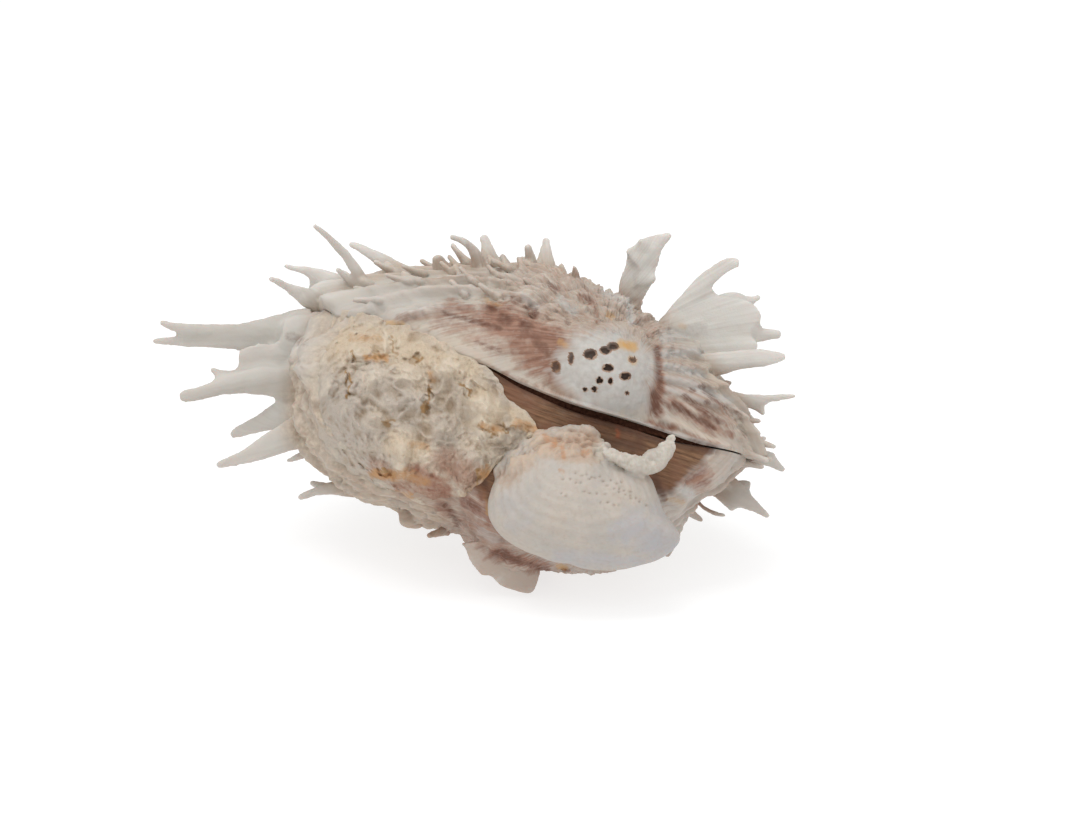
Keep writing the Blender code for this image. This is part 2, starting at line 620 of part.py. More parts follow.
def main():
    for obj in list(bpy.data.objects):
        bpy.data.objects.remove(obj)
    rest = bpy.data.objects.new("rest_frame", None)
    bpy.context.scene.collection.objects.link(rest)
    rest.rotation_euler = (-LEAN, 0, 0)
    rest.location = FOOT * MM
    rng = np.random.default_rng(SEED)

    lid = make_object("upper_cutter", upright(valve_mesh(UPPER, NODE_GAP, solid=True)), rest)
    seat = make_object("lower_cutter", upright(valve_mesh(LOWER, NODE_GAP, solid=True)), rest)

    upper = make_object("upper_valve", upright(valve_mesh(UPPER)), rest, UPPER_COLOUR, 0.55)
    spines = [prong(upper_room, *spine) for spine in UPPER_EDGE_SPINES.values()]
    spines = make_object("upper_spines", join(spines + row_spines(UPPER, UPPER_ROWS, rng)), rest)
    combine(spines, seat, "DIFFERENCE")
    combine(upper, spines, "UNION")

    lower = make_object("lower_valve", upright(valve_mesh(LOWER)), rest, LOWER_COLOUR, 0.6)
    spines = [prong(lower_room, *spine) for spine in LOWER_EDGE_SPINES.values()]
    for aim, (x, y), widths in SUPPORTS.values():
        spines.append(prong(lower_room, aim, (x, y, ground_z(y)), widths, face=(0, -0.7, 0.7)))
    spines = make_object("lower_spines", join(spines + row_spines(LOWER, LOWER_ROWS, rng)), rest)
    combine(spines, lid, "DIFFERENCE")
    combine(lower, spines, "UNION")

    crust = make_object("reef_crust", crust_mesh(), rest, CRUST_COLOUR, 0.9)
    combine(crust, seat, "DIFFERENCE")

    attached = make_object("attached_shell", attached_mesh(), rest, ATTACHED_COLOUR, 0.45)
    extras = [ball(centre, radii) for centre, radii in KNOBS]
    extras.append(strand(CURL, CURL_WIDTHS, 0.6, (0, -1, 0)))
    combine(attached, make_object("attached_extras", join(extras), rest), "UNION")
    combine(attached, seat, "DIFFERENCE")

    make_object("hinge_ligament", ligament_mesh(), rest, LIGAMENT_COLOUR, 0.7)


main()
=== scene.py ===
"""The looks of a closed spiny oyster shell, seen from its hinge side.

Sizes are in millimetres until a mesh is made. Three frames are used:
  shell   x along the hinge, y from the hinge towards the far edge, z towards the upper valve
  upright the shell rolled about y, as it looks from straight in front of the hinge
  resting the upright frame leaned back, +Z up, where the objects stand
"""

import math
from collections import namedtuple

import bmesh
import bpy
import numpy as np
from mathutils import Matrix, Vector, noise


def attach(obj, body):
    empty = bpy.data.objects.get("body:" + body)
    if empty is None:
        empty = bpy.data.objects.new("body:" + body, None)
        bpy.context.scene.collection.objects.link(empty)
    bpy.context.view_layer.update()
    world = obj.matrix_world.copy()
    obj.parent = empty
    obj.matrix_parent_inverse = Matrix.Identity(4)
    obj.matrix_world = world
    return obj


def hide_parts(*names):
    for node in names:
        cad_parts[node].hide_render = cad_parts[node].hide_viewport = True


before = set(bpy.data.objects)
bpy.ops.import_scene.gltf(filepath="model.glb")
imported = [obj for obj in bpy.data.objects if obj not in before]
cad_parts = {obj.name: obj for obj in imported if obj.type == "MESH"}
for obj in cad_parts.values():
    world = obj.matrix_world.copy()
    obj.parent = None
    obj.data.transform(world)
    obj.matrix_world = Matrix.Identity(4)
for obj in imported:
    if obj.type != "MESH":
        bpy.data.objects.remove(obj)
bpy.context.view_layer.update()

MM = 0.001

# How the shell lies: its right end is lower, and its far edge is lower than its hinge.
ROLL = math.radians(19)
LEAN = math.radians(15)
FOOT = Vector((26.25, -33.35, 37.0))  # moves the middle of the base to the origin

# The outline in plan, cut off straight along the hinge and slanting away to the left.
PLAN_RADIUS = 44.0
PLAN_MIDDLE_Y = 34.0
PLAN_SKEW = 0.36
HINGE_MIDDLE_X = -2.0
HINGE_Y = -1.0
HEART = np.array([HINGE_MIDDLE_X - PLAN_SKEW * PLAN_MIDDLE_Y, PLAN_MIDDLE_Y, 0.0])

# The powers that make the upper valve a pointed dome and the lower one a full bowl.
UPPER_POWER, LOWER_POWER = 1.25, 2.2
WALL_SOFTNESS = 12.0  # how far inside a flat wall counts as much as the middle of the plan

UPPER_HEIGHT = 22.3
UPPER_WALL_LEAN = 0.25
UPPER_BEAK = np.array([-2.0, 8.0, 5.0])
UPPER_BEAK_RADII = np.array([13.0, 13.0, 10.5])

LOWER_DEPTH = 29.0
RIGHT_LIMIT, RIGHT_LEAN = 30.0, 0.42  # the bowl's right side slopes in as it goes down
CARDINAL_LEAN = 0.30  # the flat face under the hinge comes forward as it goes down
LOWER_BEAK = np.array([-4.0, 12.0, -18.0])
LOWER_BEAK_RADII = np.array([24.0, 26.0, 16.0])
KEEL = np.array([-26.0, 24.0, -20.0])
KEEL_RADII = np.array([23.0, 24.0, 16.0])
LEFT_BULGE = np.array([-36.0, 28.0, -14.0])
LEFT_BULGE_RADII = np.array([23.0, 28.0, 18.5])

VALVE_GAP = 0.15  # each valve keeps this far from the seam
SEAM_DIP = math.radians(1.8)  # the slot that the ligament shows in
SLOT_END = math.radians(22), math.radians(36)  # where the slot begins to close and is closed
SLOT_NARROWING = 0.55  # how much narrower it gets to the left
THICK_AT_BEAK, THICK_AT_EDGE = 7.0, 4.2
RIBS = 28
RIB_HEIGHT = 0.55
LUMP_HEIGHT, LUMP_LENGTH = 1.1, 17.0

RING_CROWDING = 1.25
HINGE_FADE = 1.0, 9.0  # ribs and lumps fade in over these depths behind the hinge
POLE_FADE = 0.06, 0.3  # and fine relief over this way out from the beak
RIB_FADE = 0.15, 0.6  # and ribs over this
EDGE_FADE = 0.9, 1.0  # and lumps fade out over this, so that the valves meet
FRONT_DEPTH = 34.0  # what lies deeper than this doesn't show from in front
LONGEST_REACH = 95.0
IN_FRONT = -45.0  # a depth in front of the whole shell
HALVINGS = 20

UPPER, LOWER = 1, -1
BEAK_IN_PLAN = {UPPER: np.array([0.06, -0.84]), LOWER: np.array([0.05, -0.72])}


def soft_most(a, b, soft):
    """The larger of a and b, rounded over where they come within soft of each other."""
    share = np.clip(0.5 + 0.5 * (a - b) / soft, 0, 1)
    return b + (a - b) * share + soft * share * (1 - share)


def soft_least(a, b, soft):
    return -soft_most(-a, -b, soft)


def smooth_step(value, start, end):
    share = np.clip((value - start) / (end - start), 0, 1)
    return share * share * (3 - 2 * share)


def lobe(p, centre, radii):
    """Above 0 inside an ellipsoid, and below 0 outside it."""
    return 1 - (((p - centre) / radii) ** 2).sum(-1)


def plan_room(p):
    """1 at the middle of the outline in plan, 0 on the outline, below 0 outside it."""
    across = p[..., 0] - HINGE_MIDDLE_X + PLAN_SKEW * p[..., 1]
    along = p[..., 1] - PLAN_MIDDLE_Y
    return 1 - (across**2 + along**2) / PLAN_RADIUS**2


def upper_room(p):
    """Above 0 inside the upper valve's outer form: a low dome with a beak over the hinge."""
    dome = plan_room(p) - (np.abs(p[..., 2]) / UPPER_HEIGHT) ** UPPER_POWER
    wall = (p[..., 1] - HINGE_Y - UPPER_WALL_LEAN * p[..., 2]) / WALL_SOFTNESS
    beak = lobe(p, UPPER_BEAK, UPPER_BEAK_RADII)
    return soft_most(soft_least(dome, wall, 0.12), beak, 0.25)


def lower_room(p):
    """Above 0 inside the lower valve's outer form: a deep bowl, fuller to the left and in front."""
    depth = np.abs(p[..., 2])
    bowl = plan_room(p) - (depth / LOWER_DEPTH) ** LOWER_POWER
    bowl = soft_most(bowl, lobe(p, LEFT_BULGE, LEFT_BULGE_RADII), 0.2)
    bowl = soft_most(bowl, lobe(p, LOWER_BEAK, LOWER_BEAK_RADII), 0.2)
    bowl = soft_most(bowl, lobe(p, KEEL, KEEL_RADII), 0.2)
    right = (RIGHT_LIMIT - RIGHT_LEAN * depth - p[..., 0]) / WALL_SOFTNESS
    bowl = soft_least(bowl, right, 0.3)
    cardinal = (p[..., 1] - HINGE_Y + CARDINAL_LEAN * depth) / WALL_SOFTNESS
    return soft_least(bowl, cardinal, 0.1)


ROOM = {UPPER: upper_room, LOWER: lower_room}


def reach(room, ways):
    """How far the surface lies along each way from the heart of the shell."""
    near = np.zeros(len(ways))
    far = np.full(len(ways), LONGEST_REACH)
    for _ in range(HALVINGS):
        middle = (near + far) / 2
        inside = room(HEART + ways * middle[:, None]) > 0
        near, far = np.where(inside, middle, near), np.where(inside, far, middle)
    return near


def front_of(room, x, z):
    """The depth in the upright frame at which a line of sight at (x, z) meets the surface."""
    outside = np.full(len(x), IN_FRONT)
    inside = np.full(len(x), PLAN_MIDDLE_Y)
    for _ in range(HALVINGS):
        middle = (outside + inside) / 2
        hit = room(to_shell(np.stack([x, middle, z], axis=1))) > 0
        outside, inside = np.where(hit, outside, middle), np.where(hit, middle, inside)
    return inside


def to_upright(p):
    c, s = math.cos(ROLL), math.sin(ROLL)
    return np.stack([p[:, 0] * c + p[:, 2] * s, p[:, 1], p[:, 2] * c - p[:, 0] * s], axis=1)


def to_shell(p):
    c, s = math.cos(ROLL), math.sin(ROLL)
    return np.stack([p[:, 0] * c - p[:, 2] * s, p[:, 1], p[:, 2] * c + p[:, 0] * s], axis=1)


def hinge_share(turn):
    """1 in the middle of the hinge, fading to 0 at its ends. turn is the angle in plan."""
    off = np.abs(np.angle(np.exp(1j * (turn + math.pi / 2))))
    slot = 1 - SLOT_NARROWING * smooth_step(-turn - math.pi / 2, 0.05, 0.45)
    return (1 - smooth_step(off, *SLOT_END)) * slot


def ways_of(side, turn, out):
    """Unit ways from the heart to the points that lie out of the way along a valve's spoke.

    A spoke runs in plan from the beak to the edge at the angle turn, as the ribs do.
    """
    edge = np.stack([np.cos(turn), np.sin(turn)], axis=1)
    beak = BEAK_IN_PLAN[side]
    flat = beak + (edge - beak) * out[:, None]
    radius = np.hypot(flat[:, 0], flat[:, 1])
    around = np.arctan2(flat[:, 1], flat[:, 0])
    dip = SEAM_DIP * hinge_share(around) if side == LOWER else 0.0
    polar = radius * (math.pi / 2 - dip)
    plan_x = np.sin(polar) * np.cos(around)
    plan_y = np.sin(polar) * np.sin(around)
    ways = np.stack([plan_x - PLAN_SKEW * plan_y, plan_y, side * np.cos(polar)], axis=1)
    return ways / np.linalg.norm(ways, axis=1)[:, None]


def lumps(points):
    return np.array([noise.noise(Vector(p) / LUMP_LENGTH) for p in points]) * LUMP_HEIGHT


def outer_points(side, turn, out, grow=0.0):
    """Points of a valve's outside in the shell frame, with its ribs and its broad lumps."""
    ways = ways_of(side, turn, out)
    far = reach(ROOM[side], ways)
    plain = HEART + ways * far[:, None]
    behind = smooth_step(plain[:, 1], *HINGE_FADE)
    ribs = RIB_HEIGHT * np.cos(RIBS * turn) * behind * smooth_step(out, *RIB_FADE)
    settled = behind * (1 - smooth_step(out, *EDGE_FADE))
    far = far + ribs + lumps(plain) * settled + grow
    return HEART + ways * far[:, None]


def closed_fan(points, rings, around, flip=False):
    """Faces over a first pole, rings of points and a last pole."""
    faces = []
    last = len(points) - 1
    for i in range(around):
        j = (i + 1) % around
        faces.append((0, 1 + i, 1 + j))
        for ring in range(rings - 1):
            a, b = 1 + ring * around, 1 + (ring + 1) * around
            faces.append((a + i, b + i, b + j, a + j))
        a = 1 + (rings - 1) * around
        faces.append((a + i, last, a + j))
    if flip:
        faces = [face[::-1] for face in faces]
    return np.array(points), faces


# A pixel of the photograph is PX wide at the depth IMAGE_MIDDLE_Y, and less nearer the
# camera, which looks at the middle of the image from CAMERA_AWAY.
PX = 0.2
IMAGE_MIDDLE_PX, IMAGE_MIDDLE_PY = 540.0, 407.5
IMAGE_MIDDLE_X, IMAGE_MIDDLE_Y = -12.8, 30.0
CAMERA_AWAY = 1200.0


def pixel_at(y):
    """How wide a pixel of the photograph is at a depth in the upright frame."""
    return PX * (CAMERA_AWAY - IMAGE_MIDDLE_Y + y) / CAMERA_AWAY


def in_photo(points):
    """Where points of the upright frame lie in the photograph, in pixels."""
    pixel = pixel_at(points[:, 1])
    px = IMAGE_MIDDLE_PX + (points[:, 0] - IMAGE_MIDDLE_X) / pixel
    return np.stack([px, IMAGE_MIDDLE_PY - points[:, 2] / pixel], axis=1)


def from_photo(px, py, y):
    """The (x, z) in the upright frame of a place in the photograph at the depth y."""
    pixel = pixel_at(y)
    return IMAGE_MIDDLE_X + (px - IMAGE_MIDDLE_PX) * pixel, (IMAGE_MIDDLE_PY - py) * pixel


def roughness_of(points, length, seed=0.0, octaves=1):
    """Smooth noise from -1 to 1 at each point, with features of about this length."""
    offset = Vector((seed * 13.1, seed * 7.7, seed * 3.3))
    total = np.zeros(len(points))
    size = 1.0
    for _ in range(octaves):
        total += size * np.array([noise.noise(Vector(p) / length + offset) for p in points])
        length, size = length / 2.1, size / 2
    return total


def cells_of(points, length, seed=0.0):
    """Distance to the nearest of many scattered centres, in units of their spacing."""
    offset = Vector((seed, seed * 2, seed * 3))
    return np.array([noise.voronoi(Vector(p) / length + offset)[0][0] for p in points])


def strokes(spots, wobble, lines):
    """How strongly soft-edged strokes cover each of these places in the photograph.

    A stroke is x and y of one end, x and y of the other, its half width, all in pixels of
    the photograph, and its strength. wobble roughens its edges.
    """
    total = np.zeros(len(spots))
    for x0, y0, x1, y1, half, strength in lines:
        start, run = np.array([x0, y0]), np.array([x1 - x0, y1 - y0])
        along = np.clip((spots - start) @ run / max(run @ run, 1e-6), 0, 1)
        away = np.linalg.norm(spots - start - along[:, None] * run, axis=1) / half
        total = np.maximum(total, strength * (1 - smooth_step(away + wobble, 0.2, 1.7)))
    return total


def craggy(points, length, seed=0.0, fineness=3):
    """Crumpled ridges with narrow cracks between them, from about -1 to 1."""
    warp = [roughness_of(points, length * 1.5, seed + k) * length * 0.5 for k in (21, 22, 23)]
    bent = points + np.stack(warp, axis=1)
    total = np.zeros(len(points))
    weight = 1.0
    for octave in range(fineness):
        crease = np.abs(roughness_of(bent, length, seed + octave))
        total += weight * (0.55 - 2.4 * crease if octave % 2 else 2.4 * crease - 0.5)
        length, weight = length / 2.0, weight * 0.6
    return total


Spine = namedtuple("Spine", "path widths flatness face sides")


def marks_along(points):
    """How far along a line of points each of them lies."""
    steps = np.linalg.norm(np.diff(points, axis=0), axis=1)
    return np.concatenate([[0], np.cumsum(steps)])


# The spines that show round the edge from in front of the hinge: the depth of root and tip
# in the upright frame, how flat it is, and its middle line from root to tip as x, y and
# width in pixels of the photograph.
UPPER_SPINES = {
    "far_left_low": (42, 36, 0.5, [
        (322, 302, 30), (306, 297, 20), (295, 291, 13), (285, 286, 9), (276, 281, 7), (268, 278, 4)]),
    "far_left_mid": (45, 45, 0.45, [
        (345, 292, 30), (330, 283, 24), (318, 276, 16), (306, 271, 10), (293, 268, 6), (283, 265, 4)]),
    "left_long": (40, 32, 0.6, [
        (380, 312, 24), (366, 290, 16), (355, 269, 12), (346, 256, 10), (333, 242, 8), (321, 231, 6),
        (312, 224, 4)]),
    "left_hooked": (44, 48, 0.5, [
        (425, 292, 36), (408, 280, 28), (392, 268, 19), (378, 258, 13), (366, 251, 10), (356, 246, 8),
        (349, 244, 6)]),
    "top_left_stub": (37, 34, 0.5, [
        (448, 292, 30), (444, 278, 24), (441, 267, 18), (438, 260, 13), (437, 256, 10)]),
    "top_left_hook": (34, 28, 0.6, [
        (483, 285, 24), (479, 266, 17), (474, 252, 11), (466, 243, 8), (458, 239, 7), (450, 237, 5)]),
    "top_left": (38, 42, 0.5, [
        (494, 290, 30), (491, 268, 24), (488, 252, 15), (485, 241, 10), (482, 235, 8)]),
    "top_fork_left": (36, 32, 0.6, [(535, 285, 18), (532, 264, 12), (529, 252, 9), (527, 245, 7)]),
    "top_fork_right": (36, 38, 0.5, [
        (545, 290, 30), (545, 268, 23), (546, 252, 13), (546, 243, 9), (546, 238, 8)]),
    "top_small": (30, 26, 0.6, [(579, 300, 20), (576, 283, 13), (575, 273, 8), (574, 266, 4)]),
    "left_margin": (50, 46, 0.25, [
        (380, 320, 72), (354, 310, 66), (332, 302, 52), (315, 296, 36), (307, 294, 22)]),
    "flag": (28, 24, 0.2, [
        (628, 322, 34), (629, 302, 27), (635, 284, 33), (640, 269, 32), (645, 256, 33), (652, 247, 25),
        (663, 239, 13), (672, 234, 5)]),
    "flag_corner": (25, 25, 0.4, [(638, 276, 20), (648, 278, 14), (656, 280, 6)]),
    "flag_shoulder": (24, 24, 0.35, [(644, 262, 16), (634, 254, 12), (627, 249, 6)]),
    "flag_step": (24, 23, 0.35, [(646, 252, 16), (642, 244, 10), (641, 239, 4)]),
    "fan_finger": (24, 20, 0.5, [
        (672, 336, 40), (689, 306, 27), (703, 284, 18), (719, 270, 15), (732, 263, 13), (741, 263, 9)]),
    "fan_web": (22, 22, 0.12, [
        (670, 350, 52), (698, 332, 58), (720, 322, 56), (740, 323, 49), (750, 328, 38), (753, 331, 26)]),
    "fan_low": (22, 21, 0.14, [
        (690, 354, 34), (716, 350, 30), (738, 348, 22), (750, 346, 16), (758, 346, 8)]),
    "fan_top": (23, 27, 0.4, [(712, 320, 44), (735, 304, 26), (751, 301, 10), (761, 296, 5)]),
    "fan_side": (24, 24, 0.4, [
        (700, 345, 30), (735, 338, 20), (760, 335, 14), (775, 334, 10), (782, 335, 8)]),
    "right_finger": (20, 12, 0.45, [
        (684, 372, 34), (710, 366, 26), (738, 360, 20), (763, 358, 18), (777, 357, 12), (785, 356, 7)]),
    "right_long": (24, 20, 0.5, [
        (705, 398, 24), (730, 401, 20), (748, 401, 14), (764, 399, 10), (782, 397, 7), (796, 396, 4)]),
    "right_long_barb": (23, 22, 0.6, [(748, 402, 8), (757, 408, 7), (765, 415, 4)]),
    "right_stub": (28, 30, 0.5, [(716, 410, 20), (734, 420, 13), (746, 427, 5)]),
    "right_thin": (30, 33, 0.6, [(722, 438, 18), (748, 440, 9), (760, 439, 5), (767, 438, 4)]),
}
LOWER_SPINES = {
    "big_left": (40, 39, 0.3, [
        (310, 338, 60), (285, 336, 50), (262, 336, 36), (240, 337, 28), (215, 336, 25), (192, 335, 23),
        (180, 334, 19)]),
    "big_left_high": (39, 37, 0.42, [
        (214, 333, 12), (196, 330, 13), (180, 328, 11), (168, 325, 8), (159, 322, 5)]),
    "big_left_low": (39, 41, 0.42, [
        (214, 338, 12), (196, 341, 13), (180, 341, 11), (165, 341, 8), (152, 341, 5)]),
    "left_margin_low": (38, 36, 0.3, [
        (352, 356, 88), (326, 350, 80), (304, 345, 66), (288, 341, 52), (280, 340, 40)]),
    "left_web": (36, 35, 0.14, [(300, 362, 44), (270, 360, 36), (250, 359, 28), (238, 360, 18)]),
    "left_main": (35, 30, 0.4, [
        (305, 385, 40), (275, 382, 30), (250, 382, 25), (235, 383, 22), (218, 388, 17), (202, 393, 14),
        (186, 396, 13), (178, 398, 9)]),
    "left_main_barb": (34, 33, 0.6, [(236, 376, 12), (221, 373, 7), (210, 369, 4)]),
    "left_stub": (34, 40, 0.5, [
        (305, 412, 34), (282, 415, 28), (262, 422, 19), (248, 428, 14), (236, 433, 11), (230, 436, 7)]),
    "left_low": (30, 26, 0.4, [
        (316, 422, 40), (294, 434, 32), (272, 444, 25), (256, 452, 19), (241, 458, 14), (226, 463, 10),
        (215, 466, 5)]),
    "left_small": (32, 36, 0.6, [
        (332, 444, 18), (316, 450, 13), (303, 455, 8), (293, 459, 6), (286, 461, 4)]),
    "low_left": (28, 26, 0.5, [
        (368, 484, 24), (345, 488, 18), (327, 489, 12), (314, 492, 9), (304, 496, 7), (297, 499, 4)]),
    "low_left_barb": (28, 30, 0.6, [(332, 488, 10), (318, 485, 8), (310, 482, 4)]),
    "low_nub": (22, 18, 0.5, [(422, 498, 44), (416, 511, 36), (412, 521, 28), (411, 527, 18)]),
    "low_hook": (18, 12, 0.6, [
        (464, 526, 20), (450, 529, 14), (440, 532, 9), (431, 535, 7), (427, 537, 6)]),
    "flap": (2, 3, 0.2, [
        (505, 534, 92), (509, 553, 76), (515, 566, 58), (517, 577, 48), (516, 587, 38), (515, 591, 30)]),
    "flap_left": (5, 4, 0.3, [
        (458, 498, 62), (481, 521, 46), (497, 541, 32), (505, 560, 20), (508, 574, 10)]),
    "low_tooth_a": (7, 2, 0.5, [(567, 558, 24), (566, 567, 15), (566, 573, 6)]),
    "low_tooth_b": (10, 6, 0.5, [(590, 556, 30), (590, 566, 21), (589, 571, 12)]),
    "low_right_tooth": (22, 20, 0.5, [(668, 532, 28), (668, 546, 16), (667, 557, 5)]),
    "hair_right": (20, 16, 0.8, [
        (688, 490, 8), (697, 501, 5), (704, 508, 4), (714, 513, 4), (726, 516, 4)]),
    "low_right": (24, 18, 0.2, [
        (680, 468, 40), (704, 477, 34), (722, 486, 29), (738, 496, 26), (750, 504, 15), (761, 511, 9),
        (769, 517, 5)]),
    "low_right_up": (23, 24, 0.5, [(722, 488, 20), (737, 486, 12), (746, 484, 8), (751, 483, 4)]),
    "low_right_knob": (22, 23, 0.5, [(735, 492, 14), (746, 494, 9), (751, 495, 5)]),
    "low_right_point": (22, 21, 0.5, [(726, 498, 14), (731, 506, 9), (733, 511, 4)]),
    "right_main": (26, 28, 0.45, [
        (708, 452, 32), (735, 453, 22), (755, 457, 17), (770, 461, 12), (779, 467, 8), (785, 471, 5)]),
    "right_main_knob": (27, 27, 0.5, [(756, 455, 12), (768, 455, 9), (775, 455, 5)]),
}

# Spines that stand behind, out of sight from in front of the hinge, in rows across the ribs:
# how far out along the ribs, the first and last angle in plan, how many, and their length.
UPPER_ROWS = [(0.58, 40, 150, 4, 8.0), (0.78, 25, 160, 6, 12.0), (0.96, 20, 165, 9, 17.0)]
LOWER_ROWS = [(0.62, 50, 150, 4, 7.0), (0.80, 30, 160, 5, 10.0), (0.96, 25, 160, 8, 16.0)]
ROW_JITTER = 0.25
ROW_SWAY = math.radians(3)
BEAK_AWAY = 30.0  # spines spread from a place this far from the heart, towards the beak
SHORTEST_SPINE = 4.0
SEED = 7

# The three points that the shell rests on: one flap in front and two spines behind.
GROUND = -36.5
SPINE_CLEARANCE, SCALE_CLEARANCE = 2.0, 0.6
SUPPORTS = {
    "left": ((-36, 42, -4), (-40, 60), (9, 5, 2)),
    "right": ((2, 40, -4), (10, 60), (8, 4.6, 2)),
}
SMALL_SINK = 3.2


def smooth_line(stations, count):
    """Evenly spaced stations along the smooth curve through these ones."""
    stations = np.array(stations, float)
    marks = marks_along(stations[:, :2])
    slopes = np.gradient(stations, marks, axis=0)
    at = np.linspace(0, marks[-1], count)
    index = np.clip(np.searchsorted(marks, at, side="right") - 1, 0, len(marks) - 2)
    gap = (marks[index + 1] - marks[index])[:, None]
    t = (at - marks[index])[:, None] / gap
    start, end = stations[index], stations[index + 1]
    leave, arrive = slopes[index] * gap, slopes[index + 1] * gap
    return (start * (1 + 2 * t) * (1 - t) ** 2 + leave * t * (1 - t) ** 2
            + end * t * t * (3 - 2 * t) + arrive * t * t * (t - 1))


def trim_root(room, path, widths):
    """Cuts off all but the last few millimetres of a spine's length inside the shell."""
    inside = np.flatnonzero(room(to_shell(path)) > 0)
    if len(inside) == 0:
        return path, widths
    marks = marks_along(path)
    sink = max(SMALL_SINK, 0.65 * widths[inside[-1]])
    first = np.searchsorted(marks, marks[inside[-1]] - sink)
    return path[first:], widths[first:]


def edge_spines(side, table):
    """The spines of the front, from their lines in the photograph."""
    spines = []
    for name, (root_y, tip_y, flatness, stations) in table.items():
        line = smooth_line(stations, 60)
        y = np.linspace(root_y, tip_y, len(line))
        x, z = from_photo(line[:, 0], line[:, 1], y)
        path, widths = trim_root(ROOM[side], np.stack([x, y, z], axis=1), line[:, 2] * pixel_at(y))
        spines.append(Spine(path[::2], widths[::2], flatness, (0, -1, 0), 20))
    return spines


def ground_z(y):
    """The height in the upright frame of the surface that the shell rests on."""
    return (GROUND + math.sin(LEAN) * y) / math.cos(LEAN)


def hidden(point):
    """Whether a point behind the shell is clear of the ground and covered from in front."""
    x, y, z = point
    if z < ground_z(y) + SPINE_CLEARANCE:
        return False
    middle = to_shell(np.array([[x, PLAN_MIDDLE_Y, z]]))
    side = UPPER if middle[0, 2] > 0 else LOWER
    return y > PLAN_MIDDLE_Y and ROOM[side](middle)[0] > 0.06


def bent_spine(foot, way, length, widths, bow, face, rings, sides, sink):
    """A spine that stands on the shell at foot and bends a little sideways."""
    t = np.linspace(0, 1, rings)
    root = foot - way * sink
    sideways = np.cross(way, np.array(face, float))
    path = root + way * ((length + sink) * t)[:, None] + sideways * (bow * length * t * t)[:, None]
    width = np.interp(t, (0, 0.2, 0.5, 1), (0.6 * widths[0], *widths))
    return Spine(path, width, 0.5, face, sides)


def way_out(side, at, lean, jitter):
    """The way that a spine points, out along its rib and, by this much more, off the shell."""
    nought = np.zeros(1)
    beak = HEART + ways_of(side, nought, nought)[0] * BEAK_AWAY
    away = (at - beak) * np.array([1, 1, 0])
    facing = (at - HEART) * np.array([1, 1, 1.6])
    way = away / np.linalg.norm(away) + lean * facing / np.linalg.norm(facing) + jitter
    return to_upright((way / np.linalg.norm(way))[None])[0]


def row_spines(side, rows, rng):
    """The rows of spines behind, cut short where they would show from in front."""
    spines = []
    for out, first, last, count, length in rows:
        for turn in np.radians(np.linspace(first, last, count)):
            turn = turn + rng.uniform(-1, 1) * ROW_SWAY
            at = outer_points(side, np.array([turn]), np.array([out]))[0]
            way = way_out(side, at, 0.7, rng.uniform(-1, 1, 3) * ROW_JITTER)
            foot = to_upright(at[None])[0]
            full = length * rng.uniform(0.75, 1.2)
            bow = rng.uniform(-0.25, 0.25)
            while full > SHORTEST_SPINE and not hidden(foot + way * full):
                full -= 1
            if full > SHORTEST_SPINE:
                widths = (3.4 + full * 0.2, 1.7 + full * 0.11, 0.9)
                spines.append(bent_spine(foot, way, full, widths, bow, (0.2, -0.3, -1), 16, 14, 3))
    return spines


# Small scales that stand on the ribs, in rows: how far out, how many round, and their length.
SCALE_ROWS = {
    UPPER: [(0.36, 16, 1.8), (0.43, 20, 2.0), (0.5, 22, 2.3), (0.57, 22, 2.6), (0.64, 24, 2.9),
            (0.71, 24, 3.2), (0.78, 26, 3.5), (0.85, 26, 3.8), (0.92, 26, 4.2), (0.98, 26, 4.6)],
    LOWER: [(0.5, 12, 1.8), (0.6, 18, 2.3), (0.7, 20, 2.8), (0.78, 22, 3.1), (0.86, 24, 3.6),
            (0.94, 24, 4.0)],
}
# Where no scales stand, as strokes in the photograph.
SCALE_FREE = [(400, 320, 500, 345, 24, 1), (500, 345, 560, 385, 20, 1), (560, 380, 720, 445, 26, 1),
              (600, 370, 620, 370, 50, 1), (300, 360, 420, 440, 80, 1), (660, 350, 720, 420, 24, 1),
              (420, 300, 470, 310, 14, 1), (706, 498, 674, 545, 20, 1)]


def rib_scales(side, rng):
    """Many small uneven scales along the ribs, leaning towards the edge."""
    spines = []
    for out, count, length in SCALE_ROWS[side]:
        for k in range(RIBS):
            chance, drift, size, bow = rng.uniform(size=4)
            jitter = rng.uniform(-1, 1, 3) * 0.35
            if chance > count / RIBS:
                continue
            turn = 2 * math.pi * (k + 0.3 * (bow - 0.5)) / RIBS
            at_out = min(out + 0.09 * (drift - 0.5), 0.985)
            at = outer_points(side, np.array([turn]), np.array([at_out]))[0]
            foot = to_upright(at[None])[0]
            spot = in_photo(foot[None])
            if foot[1] < FRONT_DEPTH and strokes(spot, 0, SCALE_FREE)[0] > 0.4:
                continue
            under_hinge = side == LOWER and at[1] < 18 and at[2] < -3
            if at[1] < 5.0 or under_hinge:
                continue
            way = way_out(side, at, 0.6, jitter)
            full = length * (0.45 + 0.9 * size * size)
            tip = foot + way * full
            if tip[2] < ground_z(tip[1]) + SCALE_CLEARANCE:
                continue
            widths = (2.6 + full * 0.5, 1.4 + full * 0.3, 0.8)
            face = (0.15, -0.4, -0.9)
            spines.append(bent_spine(foot, way, full, widths, bow - 0.5, face, 10, 10, 2.8))
    return spines


